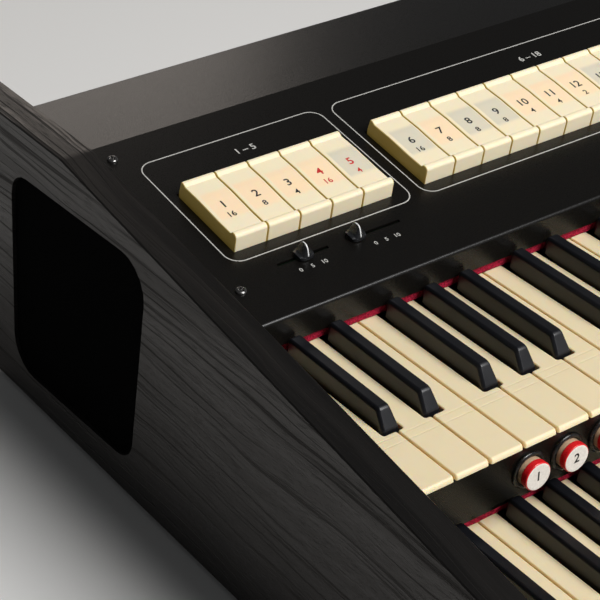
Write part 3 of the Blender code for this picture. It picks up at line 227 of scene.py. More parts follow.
# %% [markdown]
# ## Placing a shape
#
# A shape is worked out lying on its own three axes. To stand it up, its axes are named as
# three directions in the row frame, and the whole array is multiplied by them at once.
# The control panel leans back by 9.7 degrees, so its pieces are given as x, s up the
# slope and h square to it.

# %% Directions
UP = ((1, 0, 0), (0, 1, 0), (0, 0, 1))
FORWARD = ((1, 0, 0), (0, 0, 1), (0, -1, 0))
REARWARD = ((-1, 0, 0), (0, 0, 1), (0, 1, 0))
SIDEWAYS = ((0, 1, 0), (0, 0, 1), (1, 0, 0))
LEFTWARD = ((0, 1, 0), (0, 0, 1), (-1, 0, 0))
SLOPE_COS, SLOPE_SIN = math.cos(PANEL_SLOPE), math.sin(PANEL_SLOPE)
ON_PANEL = ((1, 0, 0), (0, SLOPE_COS, SLOPE_SIN), (0, -SLOPE_SIN, SLOPE_COS))


def placed(shape, axes, origin=(0, 0, 0)):
    """Points times the three axis directions, plus the origin."""
    points, faces = shape
    return points @ np.array(axes, float) + np.array(origin, float), faces


def on_panel(shape, x=0.0, s=0.0, h=0.0):
    """A shape in (x, s, h) put on the sloping panel; x is counted from the first key."""
    points, faces = shape
    origin = (KEY_LEFT, *PANEL_ORIGIN)
    return placed((points + np.array([x, s, h]), faces), ON_PANEL, origin)


def joined(shapes):
    """Several shapes as one list of points and faces."""
    points, faces, start = [], [], 0
    for shape_points, shape_faces in shapes:
        points.append(shape_points)
        faces += [[index + start for index in face] for face in shape_faces]
        start += len(shape_points)
    return np.concatenate(points), faces


print("up the slope of the panel:", np.round(ON_PANEL[1], 3))

# %% [markdown]
# ## From arrays to objects
#
# Blender takes a mesh as a list of points and a list of faces that name them. Each new
# object then gets its finish and rides on a body of the frame. Values of many points or
# faces are read and written in one go with foreach_get and foreach_set, which is far
# quicker than a loop over them.

# %% Arrays in and out of a mesh
def read_array(items, attribute, width=1, kind=float):
    """One attribute of many mesh items at once, as an array with width columns."""
    values = np.empty(len(items) * width, kind)
    items.foreach_get(attribute, values)
    return values.reshape(-1, width)


def add_map(mesh, name, pairs):
    """A UV map from one pair for each point, copied to each face corner of that point."""
    corner = read_array(mesh.loops, "vertex_index", kind=int)[:, 0]
    layer = mesh.uv_layers.new(name=name)
    layer.data.foreach_set("uv", np.asarray(pairs, np.float32)[corner].ravel())


corner_points = read_array(nodes["left_cheek"].data.loops, "vertex_index", kind=int)
print("face corners of the left cheek's solid:", len(corner_points))

# %% Putting a shape into Blender
def in_scene(name, data):
    """A new object with this data, linked to the scene."""
    made = bpy.data.objects.new(name, data)
    bpy.context.scene.collection.objects.link(made)
    return made


def piece(name, shape, material, body, stands_for=(), uv=None, sharp=35):
    """Make the mesh, give it its finish and let it ride on a body of the frame.

    uv holds a pair for each point. Faces that meet at more than sharp degrees keep a
    crisp edge. Weighted normals keep the large flat faces evenly shaded up to their rims.
    """
    points, faces = shape
    mesh = bpy.data.meshes.new(name)
    mesh.from_pydata(points.tolist(), [], faces)
    for finish in material if isinstance(material, (list, tuple)) else [material]:
        mesh.materials.append(finish)
    if uv is not None:
        add_map(mesh, "place", uv)
    mesh.shade_smooth()
    mesh.set_sharp_from_angle(angle=math.radians(sharp))
    made = in_scene(name, mesh)
    made.modifiers.new("even_shading", "WEIGHTED_NORMAL").keep_sharp = True
    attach(made, body)
    if stands_for:
        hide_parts(*stands_for)
    return made


# %% [markdown]
# ## Helpers for materials
#
# Every finish is a small node tree. Effects that several finishes share, such as the
# grain of a powder coat, are node groups: they are built once and placed with their own
# values. A group hands out only masks and heights, and the shader stays in the material.

# %% Nodes
def feed(tree, value, socket):
    """Link a socket to a socket, or write a number, vector or colour into it."""
    if isinstance(value, bpy.types.NodeSocket):
        tree.links.new(value, socket)
    elif socket.type == "RGBA" and len(value) == 3:
        socket.default_value = (*value, 1)
    else:
        socket.default_value = value


def fill(tree, node, **values):
    """Fill in settings and sockets of a node by name; a value may be another socket."""
    for key, value in values.items():
        if hasattr(node, key):
            setattr(node, key, value)
        else:
            feed(tree, value, node.inputs[key.replace("_", " ")])
    return node


def add_node(tree, kind, **values):
    """A new shader node, filled in by name."""
    return fill(tree, tree.nodes.new("ShaderNode" + kind), **values)


def maths(tree, operation, *values):
    """A math node; each value is a number or a socket."""
    node = add_node(tree, "Math", operation=operation)
    for value, socket in zip(values, node.inputs):
        feed(tree, value, socket)
    return node.outputs[0]


def between(tree, value, low, high, to_low=0.0, to_high=1.0):
    """Smooth ramp of a value: low gives to_low, high gives to_high."""
    ramp = add_node(tree, "MapRange", interpolation_type="SMOOTHSTEP", Value=value,
                    From_Min=low, From_Max=high, To_Min=to_low, To_Max=to_high)
    return ramp.outputs["Result"]


def mixed(tree, mask, first, second):
    """Colour mix; each colour is a socket or three numbers."""
    node = add_node(tree, "Mix", data_type="RGBA", Factor=mask)
    for label, value in (("A", first), ("B", second)):
        feed(tree, value, [s for s in node.inputs if s.name == label and s.type == "RGBA"][0])
    return [s for s in node.outputs if s.type == "RGBA"][0]


def noise(tree, vector, scale=1.0, detail=2.0, roughness=0.5):
    """The value of a noise texture."""
    return add_node(tree, "TexNoise", Vector=vector, Scale=scale, Detail=detail,
                    Roughness=roughness).outputs["Fac"]


print("node helpers: feed, fill, add_node, maths, between, mixed, noise")

# %% Places, directions and maps
def split(tree, vector):
    """The X, Y and Z of a vector, by name."""
    return add_node(tree, "SeparateXYZ", Vector=vector).outputs


def stretched(tree, vector, scale):
    """A vector stretched by a mapping."""
    return add_node(tree, "Mapping", Vector=vector, Scale=scale).outputs["Vector"]


def object_place(tree, scale=(1, 1, 1)):
    """Object coordinates, stretched by a mapping."""
    return stretched(tree, add_node(tree, "TexCoord").outputs["Object"], scale)


def facing(tree):
    """The X, Y and Z of the direction that the surface looks in."""
    return split(tree, add_node(tree, "NewGeometry").outputs["Normal"])


def map_place(tree, name):
    """The X and Y of a mesh's own map."""
    return split(tree, add_node(tree, "UVMap", uv_map=name).outputs["UV"])


print("places to start from: object_place, facing, map_place")

# %% Materials and groups
def new_material(name, colour, roughness, metallic=0.0):
    """A material with a bare Principled shader; returns material, tree and shader."""
    material = bpy.data.materials.new(name)
    material.use_nodes = True
    tree = material.node_tree
    shader = tree.nodes["Principled BSDF"]
    fill(tree, shader, Base_Color=colour, Roughness=roughness, Metallic=metallic)
    return material, tree, shader


def add_bump(tree, shader, height, distance, strength=0.5):
    """A bump node between a height and the shader's normal."""
    bump = add_node(tree, "Bump", Strength=strength, Distance=distance, Height=height)
    feed(tree, bump.outputs["Normal"], shader.inputs["Normal"])


def new_group(name, outputs, **numbers):
    """A node group with a Vector and number inputs; returns it, its inputs and its outputs."""
    group = bpy.data.node_groups.new(name, "ShaderNodeTree")
    group.interface.new_socket("Vector", in_out="INPUT", socket_type="NodeSocketVector")
    for label, start in numbers.items():
        socket = group.interface.new_socket(label, in_out="INPUT", socket_type="NodeSocketFloat")
        socket.default_value = start
    for label in outputs:
        group.interface.new_socket(label, in_out="OUTPUT", socket_type="NodeSocketFloat")
    entry, leave = group.nodes.new("NodeGroupInput"), group.nodes.new("NodeGroupOutput")
    return group, entry.outputs, leave.inputs


def use_group(tree, group, vector=None, **values):
    """The outputs of a placed group, by name; without a vector it follows the object."""
    vector = object_place(tree) if vector is None else vector
    return add_node(tree, "Group", node_tree=group, Vector=vector, **values).outputs


print("materials of the CAD solids:", len(bpy.data.materials))

# %% [markdown]
# ## Shared effects
#
# Four effects cover the organ. *Speckle* is the fine orange peel of powder coat and
# moulded plastic. *Grain* is embossed ash foil: broad soft bands, dark year lines at uneven
# distances and short pores, all stretched along the board and bent a little. *Weave* is
# cloth. *Handling* is the uneven gloss that fingers leave on keys and tabs.

# %% Speckle and handling
speckle, entry, leave = new_group("speckle", ["Mask", "Height"], Scale=900.0)
fine = noise(speckle, entry["Vector"], entry["Scale"], 3.0, 0.6)
feed(speckle, between(speckle, fine, 0.35, 0.7), leave["Mask"])
feed(speckle, fine, leave["Height"])

handling, entry, leave = new_group("handling", ["Roughness", "Mask"], Low=0.3, High=0.45)
cloud = between(handling, noise(handling, entry["Vector"], 28.0, 4.0, 0.65), 0.3, 0.7)
spread = maths(handling, "SUBTRACT", entry["High"], entry["Low"])
uneven = maths(handling, "ADD", maths(handling, "MULTIPLY", cloud, spread), entry["Low"])
feed(handling, uneven, leave["Roughness"])
feed(handling, cloud, leave["Mask"])
print("groups:", speckle.name, handling.name)

# %% Grain and weave
grain, entry, leave = new_group("grain", ["Lines", "Bands"])
wander = noise(grain, stretched(grain, entry["Vector"], (14, 5, 14)))
board = split(grain, entry["Vector"])
shifted = maths(grain, "ADD", board["X"], maths(grain, "MULTIPLY", wander, 0.022))
bent = add_node(grain, "CombineXYZ", X=shifted, Y=board["Y"]).outputs["Vector"]


def streaks(tree, source, across, along, low, high):
    """Noise stretched along the board, turned into a mask between two levels."""
    value = noise(tree, stretched(tree, source, (across, along, across)), 1.0, 3.0, 0.55)
    return between(tree, value, low, high)


year_lines = streaks(grain, bent, 330, 3.2, 0.53, 0.63)
pores = maths(grain, "MULTIPLY", streaks(grain, bent, 1500, 80, 0.52, 0.72), 0.45)
feed(grain, maths(grain, "MAXIMUM", year_lines, pores), leave["Lines"])
feed(grain, streaks(grain, bent, 95, 2.0, 0.38, 0.62), leave["Bands"])

weave, entry, leave = new_group("weave", ["Thread", "Height"])
yarn = split(weave, entry["Vector"])
crossing = maths(weave, "MULTIPLY", *(maths(weave, "SINE", yarn[axis]) for axis in "YZ"))
for label in ("Thread", "Height"):
    feed(weave, between(weave, crossing, -0.9, 0.9), leave[label])
print("groups:", grain.name, weave.name)

# %% [markdown]
# ## Case finishes
#
# The cheeks and boards carry a black ash foil. It is embossed, so its lines show mostly as
# grooves that reflect something else than the flat around them. The grain runs from front
# to rear. On a side face the lines are spaced by height, on a top face by width, and the
# direction of the surface chooses between the two. Its gloss has a brown tone, which one
# constant of the shader sets. The panel and the slip are powder coated steel with a fine
# even grain; the slip, which lies in the shade of the keys, gets a darker, less glossy copy
# of the coat as painted shade. All these blacks reflect a little less than plastic does by default.

# %% Foil on the cheeks and boards
FOIL_GROUND = (0.0050, 0.0048, 0.0047)
FOIL_LINE = (0.0008, 0.0008, 0.0008)
GROOVE_DEPTH, GROOVE_GLOSS = 0.00018, 0.30


def foil(name, roughness, along="Y"):
    """Black ash foil with its grain along one axis; the face's direction picks across."""
    material, tree, shader = new_material(name, FOIL_GROUND, roughness)
    here = split(tree, object_place(tree))
    level = between(tree, maths(tree, "ABSOLUTE", facing(tree)["Z"]), 0.60, 0.75)
    flat = maths(tree, "MULTIPLY", here["X" if along == "Y" else "Y"], level)
    upright = maths(tree, "MULTIPLY", here["Z"], maths(tree, "SUBTRACT", 1.0, level))
    spot = add_node(tree, "CombineXYZ", X=maths(tree, "ADD", flat, upright), Y=here[along])
    wood = use_group(tree, grain, spot.outputs["Vector"])
    flat_gloss = between(tree, wood["Bands"], 0.0, 1.0, roughness - 0.03, roughness + 0.09)
    groove_gloss = maths(tree, "MULTIPLY", wood["Lines"], GROOVE_GLOSS)
    fill(tree, shader, Base_Color=mixed(tree, wood["Lines"], FOIL_GROUND, FOIL_LINE),
         Roughness=maths(tree, "ADD", flat_gloss, groove_gloss),
         Specular_IOR_Level=0.36, Specular_Tint=(1.0, 0.90, 0.83))
    add_bump(tree, shader, maths(tree, "SUBTRACT", 1.0, wood["Lines"]), GROOVE_DEPTH, 0.9)
    return material


cheek_foil = foil("cheek_foil", 0.34)
board_foil = foil("board_foil", 0.38, "X")
print("foils:", cheek_foil.name, board_foil.name)

# %% Powder coat
def speckled(name, dark, light, gloss, scale, bump, metallic=0.0, **more):
    """A finish whose colour, gloss and height follow the speckle group.

    Where the group's mask is 0 the colour is dark and the roughness is gloss[1]; where it
    is 1 they are light and gloss[0]. Scale and bump are the grain's fineness and depth.
    """
    material, tree, shader = new_material(name, light, gloss[0], metallic)
    peel = use_group(tree, speckle, Scale=scale)
    fill(tree, shader, Base_Color=mixed(tree, peel["Mask"], dark, light),
         Roughness=between(tree, peel["Mask"], 0, 1, gloss[1], gloss[0]), **more)
    add_bump(tree, shader, peel["Height"], bump)
    return material


PEEL_DEPTH = 0.00002
panel_coat = speckled("panel_coat", (0.0032, 0.0028, 0.0024), (0.0056, 0.0050, 0.0043),
                      (0.26, 0.33), 2200.0, PEEL_DEPTH, Specular_IOR_Level=0.32)
# painted shade: the slip under the keys gets a darker, less glossy copy of the panel's coat
slip_coat_painted_shade = speckled("slip_coat_painted_shade", (0.0022, 0.0019, 0.0014), (0.0038, 0.0033, 0.0026),
                     (0.25, 0.32), 2200.0, PEEL_DEPTH, Specular_IOR_Level=0.20)
print("coats:", panel_coat.name, slip_coat_painted_shade.name)

# %% [markdown]
# ## Key and tab plastics
#
# The naturals and tabs are a warm cream plastic. Light that enters such plastic comes out
# more yellow from its narrow sides, which is why the gaps look golden. Here that light is
# painted: faces that look left or right get a deeper, more yellow colour by the direction
# of the surface, a painted shade and glow that the lamps don't make.

# %% Cream plastic of the naturals
CREAM = (0.83, 0.705, 0.465)
# painted side shade: the deeper, more yellow colour of the keys' sideways faces, standing in for
# the light in the gaps
CREAM_PAINTED_SIDE_SHADE = (0.84, 0.65, 0.34)
LEDGE_LINES, LEDGE_DEPTH = (0.0970, 0.1030), 0.00010


def sideways_mask(tree):
    """1 on faces that look left or right, 0 on tops and fronts: where the painted side shade and
    glow go.
    """
    return between(tree, maths(tree, "ABSOLUTE", facing(tree)["X"]), 0.22, 0.60)


def cream_tint(tree, cream, side, worn, rubbed):
    """Cream with a painted shade on the sides, deeper and more yellow, and times worn where the
    rubbed mask is 1.
    """
    # painted side shade: faces that look left or right take the side colour
    tint = mixed(tree, sideways_mask(tree), cream, side)
    return mixed(tree, rubbed, tint, tuple(c * w for c, w in zip(cream, worn)))


natural_plastic, tree, shader = new_material("natural_plastic", CREAM, 0.34)
rub = use_group(tree, handling, Low=0.33, High=0.43)
rubbed = maths(tree, "MULTIPLY", rub["Mask"], 0.25)
fill(tree, shader, Base_Color=cream_tint(tree, CREAM, CREAM_PAINTED_SIDE_SHADE, (0.93, 0.90, 0.84), rubbed),
     Roughness=rub["Roughness"], Specular_IOR_Level=0.4, Subsurface_Weight=0.3,
     Subsurface_Radius=(1.0, 0.55, 0.2), Subsurface_Scale=0.0022)
along = map_place(tree, "place")["Y"]
nearest = maths(tree, "MINIMUM", *(maths(tree, "ABSOLUTE", maths(tree, "ADD", along, line))
                                   for line in LEDGE_LINES))
add_bump(tree, shader, between(tree, nearest, 0.0001, 0.0007), LEDGE_DEPTH, 0.9)
print("nodes in the cream plastic:", len(tree.nodes))

# %% Black plastic of the sharps
sharp_plastic, tree, shader = new_material("sharp_plastic", (0.0065, 0.0070, 0.0090), 0.35)
peel = use_group(tree, speckle, Scale=1500.0)
rub = use_group(tree, handling, Low=0.30, High=0.40)
black = mixed(tree, peel["Mask"], (0.0048, 0.0052, 0.0070), (0.0085, 0.0090, 0.0114))
fill(tree, shader, Base_Color=black, Roughness=rub["Roughness"], Specular_IOR_Level=0.34)
add_bump(tree, shader, peel["Height"], PEEL_DEPTH)
print("nodes in the black plastic:", len(tree.nodes))

# %% [markdown]
# A lamp behind each tab lights a band across its middle, whose ends fade softly because
# the light spreads in the plastic. The mesh carries its own map: u runs across the tab
# from 0 to 1 and v up it in tab lengths. A second map says whether the lamp behind this
# tab is on, so one material serves them all. The narrow sides of every tab, lit or not,
# get a faint painted glow, which gives the gaps their golden colour.

# %% Tab plastic with its window
TAB_CREAM = (0.885, 0.775, 0.55)
# painted side shade: the deeper, more yellow colour of the tabs' sideways faces
TAB_PAINTED_SIDE_SHADE = (0.56, 0.42, 0.13)
WINDOW_DARK, WINDOW_LIT = (0.62, 0.58, 0.47), (0.96, 0.70, 0.45)
WINDOW_SPANS = {"X": (0.535, 0.39, 0.45), "Y": (0.505, 0.175, 0.250)}


def within(tree, value, middle, clear, end):
    """1 up to the distance clear from the middle, falling to 0 at the distance end."""
    distance = maths(tree, "ABSOLUTE", maths(tree, "SUBTRACT", value, middle))
    return between(tree, distance, clear, end, 1.0, 0.0)


tab_plastic, tree, shader = new_material("tab_plastic", TAB_CREAM, 0.34)
place = map_place(tree, "place")
inside = maths(tree, "MULTIPLY", *(within(tree, place[axis], *WINDOW_SPANS[axis]) for axis in "XY"))
on_top = maths(tree, "MULTIPLY", inside, between(tree, facing(tree)["Z"], 0.85, 0.95))
glow = mixed(tree, map_place(tree, "lamp")["X"], WINDOW_DARK, WINDOW_LIT)
rub = use_group(tree, handling, Low=0.44, High=0.54)
rubbed = maths(tree, "MULTIPLY", rub["Mask"], 0.2)
cream = cream_tint(tree, TAB_CREAM, TAB_PAINTED_SIDE_SHADE, (0.94, 0.92, 0.88), rubbed)
# painted glow: the sideways faces of every tab, lit or not, emit a faint golden light so that the
# gaps look golden
fill(tree, shader, Base_Color=mixed(tree, maths(tree, "MULTIPLY", on_top, 0.75), cream, glow),
     Emission_Color=mixed(tree, sideways_mask(tree), (0, 0, 0), (0.045, 0.030, 0.005)),
     Emission_Strength=1.0, Roughness=rub["Roughness"], Specular_IOR_Level=0.32,
     Subsurface_Weight=0.25, Subsurface_Radius=(1.0, 0.55, 0.2), Subsurface_Scale=0.0018)
print("nodes in the tab plastic:", len(tree.nodes))

# %% [markdown]
# ## Small finishes
#
# The rest are plainer: print, felt, cloth, the thumb pistons' lens colours, rubber,
# plated steel, circuit boards. Even these get a trace of unevenness, because a perfectly
# even surface is what gives a rendered part away.

# %% Print and plastic with a trace of grain
def plain_finish(name, colour, roughness, metallic=0.0, vary=0.12, scale=600.0, bump=0.00003):
    """A speckled finish: its colour varies by a share of itself, its roughness by 0.06."""
    darker = tuple(value * (1 - vary) for value in colour)
    gloss = max(roughness - 0.06, 0.02), min(roughness + 0.06, 1.0)
    return speckled(name, darker, colour, gloss, scale, bump, metallic)


white_print = plain_finish("white_print", (0.50, 0.49, 0.46), 0.6, bump=0.00001)
black_print = plain_finish("black_print", (0.014, 0.012, 0.010), 0.6, bump=0.00001)
red_print = plain_finish("red_print", (0.62, 0.035, 0.03), 0.5, bump=0.00001)
knob_plastic = plain_finish("knob_plastic", (0.010, 0.0105, 0.012), 0.30, bump=0.000006)
knob_mark = plain_finish("knob_mark", (0.72, 0.72, 0.71), 0.35, bump=0.000006)
piston_white = plain_finish("piston_white", (0.82, 0.77, 0.71), 0.34, bump=0.00001)
piston_red = plain_finish("piston_red", (0.68, 0.012, 0.018), 0.30, bump=0.000006)
piston_amber = plain_finish("piston_amber", (0.58, 0.40, 0.26), 0.22, bump=0.000006)
bezel_black = plain_finish("bezel_black", (0.003, 0.003, 0.003), 0.30, bump=0.000003)
print("materials so far:", len(bpy.data.materials))

# %% Metal, rubber and boards
socket_black = plain_finish("socket_black", (0.014, 0.014, 0.014), 0.4)
foot_rubber = plain_finish("foot_rubber", (0.016, 0.016, 0.016), 0.75, scale=400.0, bump=0.0001)
zinc = plain_finish("zinc", (0.56, 0.57, 0.56), 0.34, 1.0, vary=0.2, scale=180.0)
black_screw = plain_finish("black_screw", (0.17, 0.165, 0.16), 0.24, 0.9, scale=900.0, bump=0.00001)
chrome = plain_finish("chrome", (0.72, 0.72, 0.73), 0.12, 1.0, vary=0.04, bump=0.000006)
fin_aluminium = plain_finish("fin_aluminium", (0.74, 0.75, 0.76), 0.3, 1.0, vary=0.1, scale=240.0)
board_lacquer = plain_finish("board_lacquer", (0.012, 0.105, 0.045), 0.35, vary=0.3, scale=220.0)
basket_paint = plain_finish("basket_paint", (0.022, 0.022, 0.023), 0.5, scale=500.0)
print("materials by now:", len(bpy.data.materials))

# %% Felt and grille cloth
felt_cloth, tree, shader = new_material("felt_cloth", (0.42, 0.010, 0.03), 0.95)
fuzz = use_group(tree, speckle, Scale=900.0)
crimson = mixed(tree, fuzz["Mask"], (0.12, 0.003, 0.012), (0.46, 0.014, 0.050))
fill(tree, shader, Base_Color=crimson, Specular_IOR_Level=0.15)
add_bump(tree, shader, fuzz["Height"], 0.0004, 0.9)

grille_cloth, tree, shader = new_material("grille_cloth", (0.003, 0.003, 0.003), 0.95)
threads = use_group(tree, weave, object_place(tree, (1, 7000, 7000)))
black = mixed(tree, threads["Thread"], (0.0004, 0.0004, 0.0004), (0.0014, 0.0014, 0.0014))
fill(tree, shader, Base_Color=black, Specular_IOR_Level=0.02)
add_bump(tree, shader, threads["Height"], 0.00015, 0.8)
print("materials:", len(bpy.data.materials))

# %% [markdown]
# ## Finishes on the CAD solids that stay
#
# Solids whose shape is already right keep their mesh and only get a better finish.

# %% Assign finishes to the frame's nodes
NODE_FINISH = {
    "base_board": board_foil, "front_rail": board_foil,
    "left_grille": basket_paint, "right_grille": basket_paint,
    "upper_key_frame": zinc, "lower_key_frame": zinc, "power_supply": zinc,
    "upper_contact_board": board_lacquer, "lower_contact_board": board_lacquer,
    "panel_board": board_lacquer, "piston_board": board_lacquer, "main_board": board_lacquer,
    "tab_rail": socket_black, "socket_board": socket_black, "power_inlet": socket_black,
    "power_switch": socket_black, "amplifier": fin_aluminium,
}
for name, finish in NODE_FINISH.items():
    slots = nodes[name].material_slots
    for index in range(len(slots)):
        slots[index].material = finish
print("dressed nodes:", len(NODE_FINISH))

# %% [markdown]
# ## Cheeks, panel and slip with soft bends
#
# The board of a cheek bends softly from its level top to its slope, and the folded sheets
# have round bends as well. A solid's mesh comes as loose triangles with hard edges. A copy
# is merged, its flat faces are joined again, and the bends are shaded smoothly while the
# true edges stay crisp.

# %% Smooth copies of solids
def copy_of(node):
    """Points and faces of a solid, with doubles merged and flat faces joined."""
    shape = bmesh.new()
    shape.from_mesh(nodes[node].data)
    bmesh.ops.remove_doubles(shape, verts=shape.verts, dist=1e-6)
    bmesh.ops.dissolve_limit(shape, angle_limit=math.radians(1), verts=shape.verts,
                             edges=shape.edges)
    shape.verts.index_update()
    points = np.array([tuple(corner.co) for corner in shape.verts])
    faces = [[corner.index for corner in face.verts] for face in shape.faces]
    shape.free()
    return points, faces


SMOOTHED = (("left_cheek_board", "left_cheek", cheek_foil, "cheek_foil"),
            ("right_cheek_board", "right_cheek", cheek_foil, "cheek_foil"),
            ("left_driver", "left_speaker", basket_paint, "speaker"),
            ("right_driver", "right_speaker", basket_paint, "speaker"),
            ("panel_sheet", "control_panel", panel_coat, "panel_paint"),
            ("slip_rail", "upper_slip", slip_coat_painted_shade, "panel_paint"),
            ("rear_sheet", "rear_panel", panel_coat, "panel_paint"))
for name, node, finish, slot in SMOOTHED:
    piece(name, copy_of(node), finish, "case", (node,))
print("smoothed solids:", len(SMOOTHED))

# %% [markdown]
# ## Natural keys
#
# A natural is a thin cream plate with a wide head and a tail that passes between two
# sharps. In front the plate stands out over the key's body like a diving board. Its rims
# are eased by a little over a millimetre. The outline is drawn in plan, softened, and carried
# through levels; a second, lower slab is the body under it.

# %% Outlines of the naturals
def sharp_centre(index):
    """Distance from the left key's edge to the sharp right of natural number index."""
    return KEY_LEFT + (index + 1) * NATURAL_PITCH + SHARP_OFFSETS[index % 7]


def has_sharp(index):
    """True where a sharp stands right of natural number index."""
    return 0 <= index < NATURALS - 1 and index % 7 in SHARP_OFFSETS


def natural_corners(index, front, notch, rear, draw=0.0):
    """Corners in plan of natural number index, anticlockwise, drawn in by a margin."""
    left = KEY_LEFT + index * NATURAL_PITCH + KEY_GAP / 2 + draw
    right = left + NATURAL_PITCH - KEY_GAP - 2 * draw
    corners = [(left, front), (right, front)]
    if has_sharp(index):
        inner = sharp_centre(index) - SHARP_SLOT / 2 - draw
        corners += [(right, notch - draw), (inner, notch - draw), (inner, rear)]
    else:
        corners += [(right, rear)]
    if has_sharp(index - 1):
        inner = sharp_centre(index - 1) + SHARP_SLOT / 2 + draw
        corners += [(inner, rear), (inner, notch - draw), (left, notch - draw)]
    else:
        corners += [(left, rear)]
    return np.array(corners)


print("sharps per manual:", sum(has_sharp(index) for index in range(NATURALS)))

# %% Plate and body of a natural
HEAD_RADIUS, RIM_RADIUS, FRONT_RADIUS, UNDER_RADIUS = 0.0014, 0.0011, 0.0022, 0.0003
BODY_INSET, BODY_OVERLAP = 0.0004, 0.0002
NOTCH_DISTANCE = 0.0935
STRETCHED_LENGTH = 0.004


def natural_shape(index, manual):
    """Plate and body of one natural.

    Near the front the round rim is stretched from RIM_RADIUS to FRONT_RADIUS, downwards
    by its depth under the top and backwards by its distance from the front.
    """
    y, z = manual
    front, notch, rear = y - NATURAL_LENGTH, y - NOTCH_DISTANCE, y + NATURAL_PIVOT[0]
    corners = natural_corners(index, front, notch, rear)
    radii = np.where(corners[:, 1] < rear - 0.001, HEAD_RADIUS, 0.0)
    plate, plate_faces = slab(softened(corners, radii, 3),
                              rims(z - LIP_THICKNESS, z, UNDER_RADIUS, RIM_RADIUS, 4))
    nearness = np.clip(1 - (plate[:, 1] - front) / STRETCHED_LENGTH, 0, 1)
    lead = nearness * (FRONT_RADIUS / RIM_RADIUS - 1)
    drop = z - plate[:, 2]
    plate[:, 2] -= np.where(drop < RIM_RADIUS * 1.001, drop * lead, 0.0)
    plate[:, 1] += np.where(drop < RIM_RADIUS * 1.001, (plate[:, 1] - front) * lead, 0.0)
    body_rear = rear - 2.6 * PIVOT_RADIUS
    under = natural_corners(index, front + LIP_LENGTH, notch, body_rear, BODY_INSET)
    body = slab(under, [(0, z - KEY_DEPTH), (0, z - LIP_THICKNESS + BODY_OVERLAP)])
    return joined([(plate, plate_faces), body])


print("points of one natural:", len(natural_shape(0, UPPER)[0]))

# %% Natural keys of both manuals
def pivot_bar(low, high, manual, pivot):
    """Round bar that the keys of one comb share."""
    length, end = high - low, PIVOT_RADIUS * 0.9
    bar = turned([(0, end), (0.0004, PIVOT_RADIUS), (length - 0.0004, PIVOT_RADIUS),
                  (length, end)], 24)
    return placed(bar, SIDEWAYS, (low, manual[0] + pivot[0], manual[1] + pivot[1]))


def key_place(points, manual):
    """Map for a key's finish: x across, and the distance behind the manual's rear line."""
    return np.stack([points[:, 0], points[:, 1] - manual[0]], axis=1)


def naturals(name, indexes, manual, body, node):
    """A piece for one natural, or for the naturals of a comb with their bar."""
    shapes = [natural_shape(index, manual) for index in indexes]
    points = np.concatenate([points for points, _ in shapes])
    tails = points[points[:, 1] > manual[0] + 0.01, 0]
    bar = pivot_bar(tails.min(), tails.max(), manual, NATURAL_PIVOT)
    shape = joined(shapes + [bar])
    piece(name, shape, natural_plastic, body, (node,), key_place(shape[0], manual))


KEY_NAMES = ("c", "d", "e", "f", "g", "a", "b")
for index, letter in enumerate(KEY_NAMES):
    naturals("natural_" + letter, [index], UPPER, "key_" + letter, "upper_key_" + letter)
COMBS = (("upper", range(FIRST_OCTAVE, NATURALS), UPPER), ("lower", range(NATURALS), LOWER))
for side, indexes, manual in COMBS:
    naturals(side + "_natural_row", indexes, manual, side + "_natural_comb", side + "_naturals")
    print("naturals in the", side, "comb:", len(indexes))

# %% [markdown]
# ## Sharp keys
#
# A sharp is drawn from the side: a front that leans back, a level top, and behind the
# felt a thin stem that passes over the naturals' bar to its own pivot. The side outline
# is carried across the width with round rims, and then narrowed towards the top, because
# the real keys taper so that fingers can pass between them.

# %% Side view of a sharp
SHARP_HEIGHT = 0.012
SHARP_FRONT, SHARP_REAR = 0.0918, 0.004
STEM_START, STEM_END = 0.010, 0.048
STEM_LOW, STEM_HIGH = 0.0005, 0.006
STEP_Z = -0.00095


def sharp_outline(manual):
    """Side outline in (y, z), anticlockwise, with its round front edges and the boss."""
    y, z = manual
    front, rear = y - SHARP_FRONT, y - SHARP_REAR
    pivot_y, pivot_z = y + SHARP_PIVOT[0], z + SHARP_PIVOT[1]
    under = [(front, z - KEY_DEPTH), (y + 0.006, z - KEY_DEPTH), (y + STEM_START, z + STEM_LOW),
             (y + STEM_END, z + STEM_LOW), (pivot_y - PIVOT_RADIUS, pivot_z + PIVOT_RADIUS / 2)]
    boss = arc((pivot_y, pivot_z), PIVOT_RADIUS, 180, 450, 15)
    over = [(y + STEM_END, z + STEM_HIGH), (y + STEM_START, z + STEM_HIGH), (y + 0.006, z + STEP_Z),
            (rear, z + STEP_Z), (rear, z + SHARP_HEIGHT), (front + 0.0070, z + SHARP_HEIGHT),
            (front, z + 0.0005)]
    radii = [0] * (len(under) + len(boss)) + [0.0026, 0.0026, 0, 0, 0.0026, 0.0038, 0.0040]
    return softened(under + boss.tolist() + over, radii, 5)


print("points of a sharp's side view:", len(sharp_outline(UPPER)))

# %% Taper and arch of a sharp
SHARP_TOP_WIDTH, SHARP_RIM = 0.0082, 0.0022
ARCH_DROP, ARCH_LENGTH = 0.0028, 0.016


